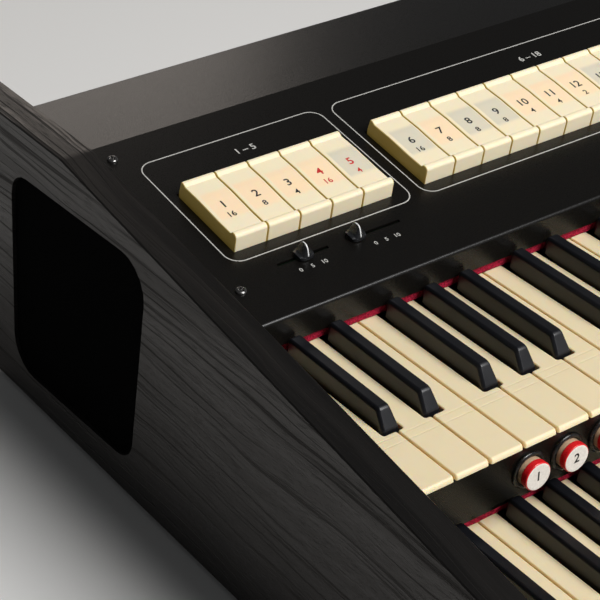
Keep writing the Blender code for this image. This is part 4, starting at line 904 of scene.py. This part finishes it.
def sharp_shape(index, manual):
    """One sharp: its side outline across the width, then narrowed towards the top.

    The half width shrinks linearly from the naturals' level to the sharp's top. Near the
    front the top also drops towards its sides, by ARCH_DROP (|x| / half width)^3, so that
    the front ends in an arch.
    """
    centre, half = sharp_centre(index), SHARP_WIDTH / 2
    across = slab(sharp_outline(manual), rims(-half, half, SHARP_RIM, SHARP_RIM, 5))
    points, faces = placed(across, SIDEWAYS)
    rise = np.clip((points[:, 2] - manual[1]) / SHARP_HEIGHT, 0, 1)
    lead = np.clip(1 - (points[:, 1] - manual[0] + SHARP_FRONT) / ARCH_LENGTH, 0, 1)
    points[:, 2] -= ARCH_DROP * rise * lead * (np.abs(points[:, 0]) / half) ** 3
    points[:, 0] *= 1 - rise * (1 - SHARP_TOP_WIDTH / SHARP_WIDTH)
    points[:, 0] += centre
    return points, faces


print("points of one sharp:", len(sharp_shape(0, UPPER)[0]))

# %% Sharp keys of both manuals
def sharps(name, indexes, manual, body, node):
    """A piece for one sharp, or for the sharps of a comb with their bar."""
    shapes = [sharp_shape(index, manual) for index in indexes]
    if len(shapes) > 1:
        low, high = sharp_centre(indexes[0]), sharp_centre(indexes[-1])
        shapes.append(pivot_bar(low, high, manual, SHARP_PIVOT))
    shape = joined(shapes)
    piece(name, shape, sharp_plastic, body, (node,), key_place(shape[0], manual))


for index, letter in enumerate(KEY_NAMES):
    if has_sharp(index):
        key = "key_%s_sharp" % letter
        sharps("sharp_" + letter, [index], UPPER, key, "upper_" + key)
for side, indexes, manual in COMBS:
    with_sharp = [index for index in indexes if has_sharp(index)]
    sharps(side + "_sharp_row", with_sharp, manual, side + "_sharp_comb", side + "_sharps")
    print("sharps in the", side, "comb:", len(with_sharp))

# %% [markdown]
# ## Rocker tabs
#
# Seen from the side a tab has a round ridge at its front, a crisp crease, a slightly
# dished top with the lit window, and a lower ridge at the rear. That side view is carried
# across the tab's width with eased rims. The map for the window comes from the same
# coordinates before they are put on the slope.

# %% Side view of a tab
TAB_FRONT, TAB_LENGTH, TAB_RIM, ROD_RADIUS = 0.0612, 0.0592, 0.0008, 0.0015
TAB_NOSE, NOSE_RADIUS, TAB_FOOT = (0.0908, -0.009), 0.002, -0.003
TAB_DISH = [(0.0671, 0.0091), (0.0784, 0.0090), (0.0994, 0.0097), (0.1145, 0.0093)]


def tab_outline():
    """Side outline in (s, h), anticlockwise."""
    nose = arc(TAB_NOSE, NOSE_RADIUS, 160, 380, 20).tolist()
    corners = [(TAB_NOSE[0] - 0.006, TAB_FOOT), *nose, (TAB_NOSE[0] + 0.006, TAB_FOOT),
               (0.1202, TAB_FOOT), (0.1204, 0.0030), (0.1191, 0.0107), (0.1168, 0.0106),
               *TAB_DISH[::-1], (0.0652, 0.0109), (TAB_FRONT, 0.0109), (0.0613, TAB_FOOT)]
    radii = [0] * (len(nose) + 3) + [0.0022, 0.0014, 0.0015, 0, 0.02, 0.02, 0, 0.0016, 0.0024, 0]
    return softened(corners, radii, 4)


def tab_top(s):
    """Height of the dished top where the numbers are printed, by straight pieces."""
    return np.interp(s, *zip(*TAB_DISH))


def tab_shapes(first_x, count):
    """Tabs in (x, s, h) with their window maps."""
    points, faces = slab(tab_outline(), rims(0, TAB_WIDTH, TAB_RIM, TAB_RIM, 4))
    one = points[:, [2, 0, 1]]
    place = np.stack([one[:, 0] / TAB_WIDTH, (one[:, 1] - TAB_FRONT) / TAB_LENGTH], axis=1)
    return [(one + (first_x + number * TAB_PITCH, 0, 0), faces) for number in range(count)], place


def tab_rod(first_x, count):
    """Thin rod through the noses of a bank of tabs, in (x, s, h)."""
    length = count * TAB_PITCH - (TAB_PITCH - TAB_WIDTH)
    points, faces = turned([(0, ROD_RADIUS), (length, ROD_RADIUS)], 16)
    return points[:, [2, 0, 1]] + np.array([first_x, *TAB_NOSE]), faces


print("points of a tab's side view:", len(tab_outline()))

# %% Tabs on their bodies
LAMPS_OFF = (5, 6, 8, 9, 13, 15, 20, 24, 25, 29)


def tabs(name, first_x, count, first_number, body, node):
    """A piece for one tab or a bank; each tab's lamp map says whether its window is lit."""
    shapes, place = tab_shapes(first_x, count)
    uv = np.tile(place, (count, 1))
    numbers = np.arange(first_number, first_number + count)
    lit = np.repeat(~np.isin(numbers, LAMPS_OFF), len(place)).astype(float)
    if count > 1:
        rod = tab_rod(first_x, count)
        shapes.append(rod)
        uv = np.concatenate([uv, np.zeros((len(rod[0]), 2))])
        lit = np.concatenate([lit, np.zeros(len(rod[0]))])
    made = piece(name, on_panel(joined(shapes)), tab_plastic, body, (node,), uv, 30)
    add_map(made.data, "lamp", np.stack([lit, lit * 0], axis=1))


first_x, single_tabs = TAB_GROUPS[0]
TAB_ROWS = [("_%d" % number, first_x + (number - 1) * TAB_PITCH, 1, number,
             "rocker_%d" % number, "tab_%d" % number) for number in range(1, single_tabs + 1)]
TAB_ROWS += [("s_middle", *TAB_GROUPS[1], 6, "middle_rockers", "middle_tab_bank"),
             ("s_right", *TAB_GROUPS[2], 19, "right_rockers", "right_tab_bank")]
for ending, *row in TAB_ROWS:
    tabs("rocker_tab" + ending, *row)
print("tabs drawn:", sum(row[2] for row in TAB_ROWS))

# %% [markdown]
# ## Printed numbers
#
# Text objects give the figures their outlines. They are turned into plain points and
# faces, scaled by their height, and laid on a surface by a function, so the figures
# follow the dish of a tab. Only plain numbers are printed.

# %% Text as arrays
FIGURE_SHARE = 0.7
INK = 0.00006


def figures(text, height, weight=0.016):
    """Outline of a short text, centred, with the given height of its figures.

    weight fattens the strokes, as a share of the type's size, of which a figure's
    height is FIGURE_SHARE.
    """
    curve = bpy.data.curves.new("figures", "FONT")
    curve.offset = weight
    curve.body = text
    curve.align_x = "CENTER"
    curve.resolution_u = 3
    curve.extrude = 0.5
    holder = in_scene("figures", curve)
    graph = bpy.context.evaluated_depsgraph_get()
    mesh = bpy.data.meshes.new_from_object(holder.evaluated_get(graph))
    points = read_array(mesh.vertices, "co", 3)
    faces = [list(polygon.vertices) for polygon in mesh.polygons]
    bpy.data.objects.remove(holder)
    bpy.data.curves.remove(curve)
    bpy.data.meshes.remove(mesh)
    scale = height / FIGURE_SHARE
    middle = (points[:, 0].min() + points[:, 0].max()) / 2
    return (points - (middle, 0, 0)) * (scale, scale, 1), faces


def printed(entries, top=None):
    """Numbers (text, x, s, height) laid on the panel, or on a top as a function of s."""
    shapes = []
    for text, x, s, height in entries:
        points, faces = figures(text, height)
        points = points * (1, 1, INK) + (x, s, 0)
        if top is not None:
            points[:, 2] += top(points[:, 1])
        shapes.append((points, faces))
    return joined(shapes)


print("points of a printed 8:", len(figures("8", 0.006)[0]))

# %% Numbers on the tabs
PIPE_NUMBERS = ("16", "8", "4", "16", "4", "16", "8", "8", "8", "4", "4", "2", "2", "1", "8", "16",
                "8", "4", "16", "8", "8", "8", "4", "4", "3", "2", "2", "1", "5", "16", "8", "4")
RED_TABS = (4, 5, 16, 17, 18, 30, 31, 32)
RUNNING_S, RUNNING_HEIGHT = 0.0882, 0.0060
PIPE_S, PIPE_HEIGHT = 0.0793, 0.0043


def tab_numbers(name, first_x, count, first_number, body):
    """Running number and pitch number of every tab, in black or red print."""
    for colour, material in (("black", black_print), ("red", red_print)):
        chosen = [number for number in range(first_number, first_number + count)
                  if (number in RED_TABS) == (colour == "red")]
        entries = []
        for number in chosen:
            x = first_x + (number - first_number) * TAB_PITCH + TAB_WIDTH / 2
            entries.append((str(number), x, RUNNING_S, RUNNING_HEIGHT))
            entries.append((PIPE_NUMBERS[number - 1], x, PIPE_S, PIPE_HEIGHT))
        if entries:
            piece("%s_%s" % (name, colour), on_panel(printed(entries, tab_top)), material, body)


for ending, *row, _ in TAB_ROWS:
    tab_numbers("tab_number" + ending, *row)
print("tabs with red print:", len(RED_TABS))

# %% [markdown]
# ## Print on the control panel
#
# Each group of tabs is framed by a thin light line with round corners. The lines are
# bands a few hundredths of a millimetre thick, so they catch light like real ink.

# %% Framing lines
LINE_WIDTH = 0.00075
FRAME_LOW, FRAME_HIGH, FRAME_RADIUS = 0.0515, 0.1555, 0.0095
FRAME_SPANS = ((0.0165, 0.1498), (0.1585, 0.4736), (0.4821, 0.8203))

lines = []
for low_x, high_x in FRAME_SPANS:
    corners = rectangle((low_x, FRAME_LOW), (high_x, FRAME_HIGH))
    lines.append(band(softened(corners, FRAME_RADIUS, 10), LINE_WIDTH, 0.0, INK))
piece("framing_lines", on_panel(joined(lines)), white_print, "case")
print("framed groups:", len(lines))

# %% Numbers on the panel
CAPTION_S, CAPTION_HEIGHT, CAPTION_SHIFT = 0.1382, 0.0052, 0.003
captions = []
first_number = 1
for (low_x, high_x), (_, count) in zip(FRAME_SPANS, TAB_GROUPS):
    text = "%d – %d" % (first_number, first_number + count - 1)
    captions.append((text, (low_x + high_x) / 2 + CAPTION_SHIFT, CAPTION_S, CAPTION_HEIGHT))
    first_number += count
piece("group_captions", on_panel(printed(captions)), white_print, "case")
SCALES = ((0.0280, (0.0486, 0.0568, 0.0655)), (0.0274, (0.1020, 0.1098, 0.1180)))
SCALE_HEIGHT = 0.0030
scale_marks = [(text, x, s, SCALE_HEIGHT) for s, places in SCALES
               for text, x in zip(("0", "5", "10"), places)]
piece("slider_captions", on_panel(printed(scale_marks)), white_print, "case")
print("captions:", [entry[0] for entry in captions + scale_marks])

# %% [markdown]
# ## Screws
#
# A pan-head screw is a dome with a cross recess. Both come from one formula on a polar
# grid: the height is the dome, minus the recess depth wherever the point lies within the
# narrow arms of the cross.

# %% Screw heads
def on_foot(top, height):
    """A height field as rings from its rim inwards, closed by a foot at one height."""
    foot = top[:1] * (1, 1, 0) + (0, 0, height)
    rings = np.concatenate([foot, top])
    return rings.reshape(-1, 3), skin(len(rings), rings.shape[1])


def screw_head(radius, height, recess=0.0009, arm=0.00034, rows=22, steps=72):
    """Cross-recessed pan head with its base at height 0.

    height(r) = height (1 - 0.55 (r / radius)^4), minus recess inside the cross, whose
    arms are |x| < arm or |y| < arm out to 0.62 radius; smooth steps ease its walls.
    """
    ratio = np.linspace(0.02, 1, rows)[:, None]
    angle = np.linspace(0, 2 * np.pi, steps, endpoint=False)[None] + np.pi / 4
    x, y = radius * ratio * np.cos(angle), radius * ratio * np.sin(angle)

    def inside(value, limit):
        return np.clip((limit - value) / (0.35 * arm) + 0.5, 0, 1)

    arms = np.maximum(inside(np.abs(x), arm), inside(np.abs(y), arm))
    cross = arms * inside(radius * ratio + 0 * angle, 0.62 * radius)
    dome = height * (1 - 0.55 * ratio**4) - recess * cross * (1 - 0.45 * ratio)
    return on_foot(np.stack([x, y, dome + 0 * angle], axis=-1)[::-1], 0)


KEYBOARD_WIDTH = NATURALS * NATURAL_PITCH
PANEL_SCREW = (0.0033, 0.0019, 0.0012, 0.00045)
SCREW_EDGE, SCREW_ROWS = 0.0075, (0.030, 0.1675)
panel_screws = [on_panel(screw_head(*PANEL_SCREW), x, s)
                for x in (SCREW_EDGE, KEYBOARD_WIDTH - SCREW_EDGE) for s in SCREW_ROWS]
piece("panel_screws", joined(panel_screws), black_screw, "case", sharp=50)
print("panel screws:", len(panel_screws))

# %% [markdown]
# ## Slide controls
#
# The knob is a small black cap with a square skirt that sweeps up into a thin fin. Its
# height is a product: an arch along the fin times a flank that falls off steeply to
# either side. A pale line follows the fin over its top from rear to front.

# %% Knob surface
KNOB_HALF, KNOB_TOP, KNOB_LIFT = 0.0054, 0.0094, 0.0008


def knob_height(x, y):
    """Height over the panel of the knob at x across and y along its fin (-1 to 1).

    It is KNOB_LIFT plus the knob's rise times arch(y) flank(x), but at least 0.17 of it:
    arch(y) = 1 - 0.80 |y|^2.6 and flank(x) = 0.26 + 0.74 exp(-(|x| / 0.36)^2.2).
    """
    arch = 1 - 0.80 * np.abs(y) ** 2.6
    flank = 0.26 + 0.74 * np.exp(-((np.abs(x) / 0.36) ** 2.2))
    return KNOB_LIFT + (KNOB_TOP - KNOB_LIFT) * np.maximum(arch * flank, 0.17)


def knob_shape(steps=28):
    """Closed knob: rings shrink from the square skirt to the middle over the height field."""
    side = np.linspace(-1, 1, steps, endpoint=False)
    edge = np.stack([side, side * 0 - 1], axis=1)
    quarter_turn = np.array([(0, 1), (-1, 0)])
    square = np.concatenate([edge @ np.linalg.matrix_power(quarter_turn, k) for k in range(4)])
    square *= 1 - 0.19 * (square[:, :1] ** 2 * square[:, 1:] ** 2)
    ratio = np.linspace(1, 0.03, 20)[:, None]
    x, y = ratio * square[None, :, 0], ratio * square[None, :, 1]
    return on_foot(np.stack([x * KNOB_HALF, y * KNOB_HALF, knob_height(x, y)], axis=-1), KNOB_LIFT)


print("faces of a knob:", len(knob_shape()[1]))

# %% Knobs with stem and line
SLIDE_S, STEM_DEPTH = 0.0393, 0.0158


def knob_line(steps=40):
    """Pale stripe 0.8 mm wide over the fin, laid just above the knob's height field."""
    y = np.linspace(-0.95, 0.62, steps)[:, None]
    x = np.array([[-0.07, 0.07, 0.07, -0.07]])
    lift = np.array([[-0.0002, -0.0002, 0.00012, 0.00012]])
    rings = np.stack([x * KNOB_HALF + 0 * y, y * KNOB_HALF * 1.012 + 0 * x,
                      knob_height(0 * y + 0 * x, y + 0 * x) + lift], axis=-1)
    return rings.reshape(-1, 3), [face[::-1] for face in skin(steps, 4)]


def slider(name, x, body, node):
    """Knob and stem that stand for the CAD slider, with the line as its own piece."""
    stem = slab(rectangle((-0.002, -0.0008), (0.002, 0.0008)),
                [(0, -STEM_DEPTH), (0, KNOB_LIFT + 0.001)])
    cap = on_panel(joined([knob_shape(), stem]), x, SLIDE_S)
    piece(name, cap, knob_plastic, body, (node,), sharp=60)
    piece(name + "_line", on_panel(knob_line(), x, SLIDE_S), knob_mark, body, sharp=60)


for name, x in (("volume", 0.0568), ("reverb", 0.0945)):
    slider(name + "_cap", x, name + "_knob", name + "_slider")
    print(name, "knob at x =", x)

# %% [markdown]
# ## Thumb pistons
#
# A piston is turned: a white cap with a bright red edge, a clear amber body behind it
# and a glossy black bezel round the hole. One mesh holds cap, edge and body; the finish
# changes with the ring, which is set for all faces at once. Each cap has a plain number.

# %% Piston profile
PISTON_RADIUS, PISTON_OUT, PISTON_DEPTH = 0.00895, 0.0085, 0.0075
PISTON_STEPS = 56
BAR_HALF, BAR_THICKNESS = 0.0015, 0.003
RED_FROM, CAP_FROM, WHITE_FROM, NUMBER_AT = 0.0041, 0.0078, 0.0083, 0.00833
PISTON_PROFILE = [(-PISTON_DEPTH, 0.0086), (-0.0005, 0.0086), (RED_FROM - 0.0002, 0.0086),
                  (RED_FROM, 0.00880), (RED_FROM + 0.0004, PISTON_RADIUS),
                  (CAP_FROM - 0.0002, PISTON_RADIUS), (CAP_FROM, 0.00885), (0.0081, 0.0087),
                  (0.00835, 0.0083), (PISTON_OUT, 0.0076), (0.00842, 0.0066),
                  (0.00835, 0.0045), (NUMBER_AT, 0.0018)]
piston_low, piston_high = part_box("piston_1")
PISTON_X = (piston_low.x + piston_high.x) / 2
PISTON_Z = (piston_low.z + piston_high.z) / 2
SLIP_Y = piston_low.y + PISTON_OUT
PISTON_PITCH = 0.02805


def piston_xs():
    """Middles of all pistons in x: three groups of four, the last mirrored."""
    left = PISTON_X + PISTON_PITCH * np.arange(4)
    middle = PISTON_PITCH * (np.arange(4) - 1.5)
    return np.concatenate([left, middle, -left[::-1]])


def on_slip(shape, x):
    """A shape with its axis turned forward, out of the slip at x."""
    return placed(shape, FORWARD, (x, SLIP_Y, PISTON_Z))


xs = piston_xs()
print("places of the pistons in mm:", np.round(xs * 1000, 1))

# %% Pistons and bezels
def pistons(name, xs, body, node):
    """Pistons of one body; the finish follows each face's distance from the slip."""
    shapes = [on_slip(turned(PISTON_PROFILE, PISTON_STEPS), x) for x in xs]
    if len(xs) > 1:
        strip = rectangle((xs[0], -BAR_HALF), (xs[-1], BAR_HALF))
        bar = slab(strip, [(0, -PISTON_DEPTH), (0, -PISTON_DEPTH + BAR_THICKNESS)])
        shapes.append(on_slip(bar, 0))
    finishes = [piston_white, piston_red, piston_amber]
    made = piece(name, joined(shapes), finishes, body, (node,))
    out = SLIP_Y - read_array(made.data.polygons, "center", 3)[:, 1]
    finish = np.select([out < RED_FROM - 0.0001, out < WHITE_FROM], [2, 1], 0)
    made.data.polygons.foreach_set("material_index", finish.astype(np.int32))


PISTON_ROWS = [("_%d" % number, slice(number - 1, number), "thumb_piston_%d" % number,
                "piston_%d" % number) for number in range(1, 5)]
PISTON_ROWS.append(("s_other", slice(4, None), "other_pistons", "piston_bank"))
for ending, part, body, node in PISTON_ROWS:
    pistons("thumb_cap" + ending, xs[part], body, node)

BEZEL_SECTION = [(-0.0004, 0.00908), (-0.0004, 0.0118), (0.0004, 0.0118), (0.00095, 0.01165),
                 (0.0014, 0.0113), (0.00172, 0.0108), (0.00185, 0.0103), (0.00172, 0.0098),
                 (0.0014, 0.00945), (0.0009, 0.0092)]
bezels = [on_slip(turned(BEZEL_SECTION, 64, closed=True), x) for x in xs]
piece("piston_bezels", joined(bezels), bezel_black, "case", sharp=70)
print("pistons drawn:", len(xs))

# %% Numbers on the pistons
CAP_FIGURE, CAP_WEIGHT, CAP_INK, CAP_SHIFT = 0.0060, 0.018, 0.00008, -0.0025


def piston_numbers(name, numbers, xs, body):
    """A plain number in the middle of each cap, just proud of its face."""
    shapes = []
    for number, x in zip(numbers, xs):
        points, faces = figures(str(number), CAP_FIGURE, CAP_WEIGHT)
        shapes.append(on_slip((points * (1, 1, CAP_INK) + (0, CAP_SHIFT, NUMBER_AT), faces), x))
    piece(name, joined(shapes), black_print, body)


for ending, part, body, _ in PISTON_ROWS:
    piston_numbers("cap_number" + ending, range(1, 13)[part], xs[part], body)
print("numbers on pistons: 1 to", len(xs))

# %% [markdown]
# ## Felt strips
#
# Behind the keys of each manual a strip of crimson felt closes the gap. Its section is a
# soft rectangle carried along the keyboard, and a seeded random field pushes the surface
# in and out by a tenth of a millimetre, so its edge isn't ruler straight.

# %% Felt
rng = np.random.default_rng(7)
FELT_COLUMNS = 560
FELT_EDGE, FELT_ROUGH, FELT_INSET = 0.0006, 0.00016, 0.00012


def felt_strip(name, node):
    """A soft-edged strip: section rings along x, roughened by smoothed random numbers."""
    low, high = (np.array(corner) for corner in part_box(node))
    section = softened(rectangle(low[1:], high[1:]), FELT_EDGE, 3)
    section_normal = mitres(section)
    x = np.linspace(low[0], high[0], FELT_COLUMNS)
    rough = rng.normal(size=(FELT_COLUMNS, len(section)))
    for axis in (0, 1):
        rough = (np.roll(rough, 1, axis) + rough * 2 + np.roll(rough, -1, axis)) / 4
    shift = rough[..., None] * FELT_ROUGH * section_normal[None]
    rings = section[None] + shift - FELT_INSET * section_normal[None]
    shape = stacked(rings, x)[:, [2, 0, 1]], skin(FELT_COLUMNS, len(section))
    piece(name, shape, felt_cloth, "case", (node,), sharp=80)


for side in ("upper", "lower"):
    felt_strip(side + "_felt_strip", side + "_felt")
    print("rings along the", side, "felt:", FELT_COLUMNS)

# %% [markdown]
# ## Loudspeaker cloth
#
# The grille is a frame with black cloth stretched over it. The frame is the CAD solid;
# the cloth is a thin slab of the same outline with a soft rim, a little proud of it.

# %% Cloth over the grille frames
OPENING = ((0.0752, 0.0306), (0.1040, -0.1255), (0.2530, -0.1312), (0.2352, 0.0246))
OPENING_RADIUS = 0.022
CLOTH_GAP, CLOTH_PROUD, CLOTH_RIM = 0.0006, 0.0008, 0.0007


def opening_outline(shrink):
    """Outline in (y, z) of the loudspeaker opening, drawn in along its mitres."""
    corners = np.array(OPENING) + np.array(UPPER)
    outline = softened(corners, OPENING_RADIUS, 12)
    return outline - shrink * mitres(outline)


for side_name, side in (("left", -1), ("right", 1)):
    low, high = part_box(side_name + "_grille")
    face = high.x if side > 0 else low.x
    outline = opening_outline(CLOTH_GAP)
    cloth = slab(outline, rims(0.0, CLOTH_PROUD, 0.0, CLOTH_RIM, 4))
    points, faces = placed(cloth, SIDEWAYS if side > 0 else LEFTWARD, (face, 0, 0))
    if side < 0:
        faces = [polygon[::-1] for polygon in faces]
    made = piece(side_name + "_cloth", (points, faces), grille_cloth, "case",
                 sharp=50)

# %% [markdown]
# ## Rear and underside
#
# The rear sheet is held by screws along its edges, and the sockets carry plated nuts and
# shells. The rubber feet are turned from a profile with a rounded lower edge.

# %% Rear screws and socket fittings
rear_low, rear_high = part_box("rear_panel")
REAR_SCREW, REAR_EDGE = (0.0030, 0.0017), 0.02
rear_screws = [placed(screw_head(*REAR_SCREW), REARWARD, (x, rear_high.y, z))
               for x in np.linspace(rear_low.x + REAR_EDGE, rear_high.x - REAR_EDGE, 7)
               for z in (rear_low.z + REAR_EDGE / 2, rear_high.z - REAR_EDGE)]
piece("rear_screws", joined(rear_screws), black_screw, "case", sharp=50)

SOCKET_MIDDLE = (-0.290, UPPER[1] - 0.060)
SOCKET_PITCH = (0.029, 0.024)
SOCKET_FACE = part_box("socket_board")[1].y
NUT = [(0, 0.0036), (0, 0.0062), (0.0014, 0.0062), (0.0018, 0.0058), (0.0018, 0.0040),
       (0.0014, 0.0036)]
COLLAR = [(0, 0.0036), (0, 0.0048), (0.0030, 0.0048), (0.0034, 0.0044), (0.0034, 0.0036)]
SHELL = [(-0.010, 0.0068), (-0.010, 0.0074), (0.0005, 0.0074), (0.0012, 0.0082), (0.0016, 0.0082),
         (0.0016, 0.0070), (0.0010, 0.0068)]
nut, collar, shell = (turned(section, steps, closed=True)
                      for section, steps in ((NUT, 6), (COLLAR, 40), (SHELL, 48)))
fittings = []
for side in (-1, 1):
    for fitting, row in ((nut, -1), (collar, -1), (shell, 1)):
        place = (SOCKET_MIDDLE[0] + side * SOCKET_PITCH[0] / 2, SOCKET_FACE,
                 SOCKET_MIDDLE[1] + row * SOCKET_PITCH[1] / 2)
        fittings.append(placed(fitting, REARWARD, place))
piece("socket_fittings", joined(fittings), chrome, "case")
print("rear screws:", len(rear_screws), "socket fittings:", len(fittings))

# %% Feet
foot_low, foot_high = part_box("foot_front_left")
FOOT_RADIUS = (foot_high.x - foot_low.x) / 2
FOOT_TOP = foot_high.z
FOOT_PROFILE = [(0.0, 0.0050), (0.0, FOOT_RADIUS - 0.0026), (0.0003, FOOT_RADIUS - 0.0016),
                (0.0012, FOOT_RADIUS - 0.0009), (FOOT_TOP - 0.0004, FOOT_RADIUS),
                (FOOT_TOP, FOOT_RADIUS - 0.0003)]
FEET = ["foot_%s_%s" % (end, side) for end in ("front", "rear") for side in ("left", "right")]
for name in FEET:
    low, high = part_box(name)
    shape = placed(turned(FOOT_PROFILE, 48), UP, ((low.x + high.x) / 2, (low.y + high.y) / 2, 0))
    piece("rubber_" + name, shape, foot_rubber, "case", (name,), sharp=50)
print("foot radius in mm:", round(FOOT_RADIUS * 1000, 1))

# %% [markdown]
# ## Camera, lamps and floor
#
# The camera was solved from the keys in the photograph. The light is a soft studio: one
# large lamp high in front, whose spread is narrowed so that the floor below it doesn't turn
# white; a dim wide one at the front right for the faces that look forward; and a dim one
# behind that only the level top of the panel reflects. The surround is pale at the
# horizon and darker overhead, so that black stays black. The floor is a plain pale plane.

# %% Camera
from mathutils import Matrix, Vector

RIGHT = Vector((0.80853296, -0.58834681, 0.01106767))
DOWN = Vector((-0.30835654, -0.43962677, -0.84359027))
AHEAD = Vector((0.50118929, 0.67865775, -0.53687332))
camera_data = bpy.data.cameras.new("camera")
camera_data.lens = 110.86
camera_data.sensor_width = 36
camera_data.clip_start = 0.05
camera = in_scene("camera", camera_data)
turn = Matrix((RIGHT, -DOWN, -AHEAD)).transposed().to_4x4()
turn.translation = Vector((-0.90550, -0.69924, 0.73506))
camera.matrix_world = turn
bpy.context.scene.camera = camera
print("camera at", tuple(round(v, 3) for v in turn.translation))

# %% Lamps
def soft_lamp(name, place, target, size, power, spread=180, colour=(1, 1, 1)):
    """A square area lamp at a place, aimed at a target; spread is in degrees."""
    lamp = bpy.data.lights.new(name, "AREA")
    lamp.shape = "SQUARE"
    lamp.size = size
    lamp.energy = power
    lamp.spread = np.radians(spread)
    lamp.color = colour
    holder = in_scene(name, lamp)
    holder.visible_camera = False
    aim = (Vector(target) - Vector(place)).to_track_quat("-Z", "Y")
    holder.matrix_world = Matrix.Translation(place) @ aim.to_matrix().to_4x4()


soft_lamp("high_lamp", (0.55, -1.95, 2.45), (-0.2, 0.5, 0.0), 1.5, 40, spread=100)
soft_lamp("low_lamp", (1.25, -1.75, 0.85), (-0.2, 0, 0.15), 1.2, 0.8)
soft_lamp("rear_lamp", (0.47, 1.83, 1.10), (-0.38, 0.2, 0.21), 0.64, 2.85, colour=(1.0, 0.90, 0.81))
print("lamps:", len(bpy.data.lights))

# %% Surround
HORIZON, OVERHEAD = 0.32, 0.06
world = bpy.data.worlds.new("surround")
bpy.context.scene.world = world
world.use_nodes = True
sky = world.node_tree
height = split(sky, add_node(sky, "TexCoord").outputs["Generated"])["Z"]
fill(sky, sky.nodes["Background"], Color=(0.95, 0.975, 1.0),
     Strength=between(sky, height, 0.02, 0.42, HORIZON, OVERHEAD))
bpy.context.scene.view_settings.view_transform = "Standard"
print("nodes in the surround:", len(sky.nodes))

# %% Floor
floor_finish, tree, shader = new_material("floor_finish", (0.80, 0.79, 0.77), 0.8)
dust = noise(tree, object_place(tree), 3.0)
fill(tree, shader, Roughness=between(tree, dust, 0.3, 0.7, 0.78, 0.86))
FLOOR_HALF = 6
floor_mesh = bpy.data.meshes.new("floor")
corners = rectangle((-FLOOR_HALF, -FLOOR_HALF), (FLOOR_HALF, FLOOR_HALF))
floor_mesh.from_pydata([(x, y, 0) for x, y in corners.tolist()], [], [(0, 1, 2, 3)])
floor_mesh.materials.append(floor_finish)
in_scene("floor", floor_mesh)
print("floor in metres:", 2 * FLOOR_HALF)
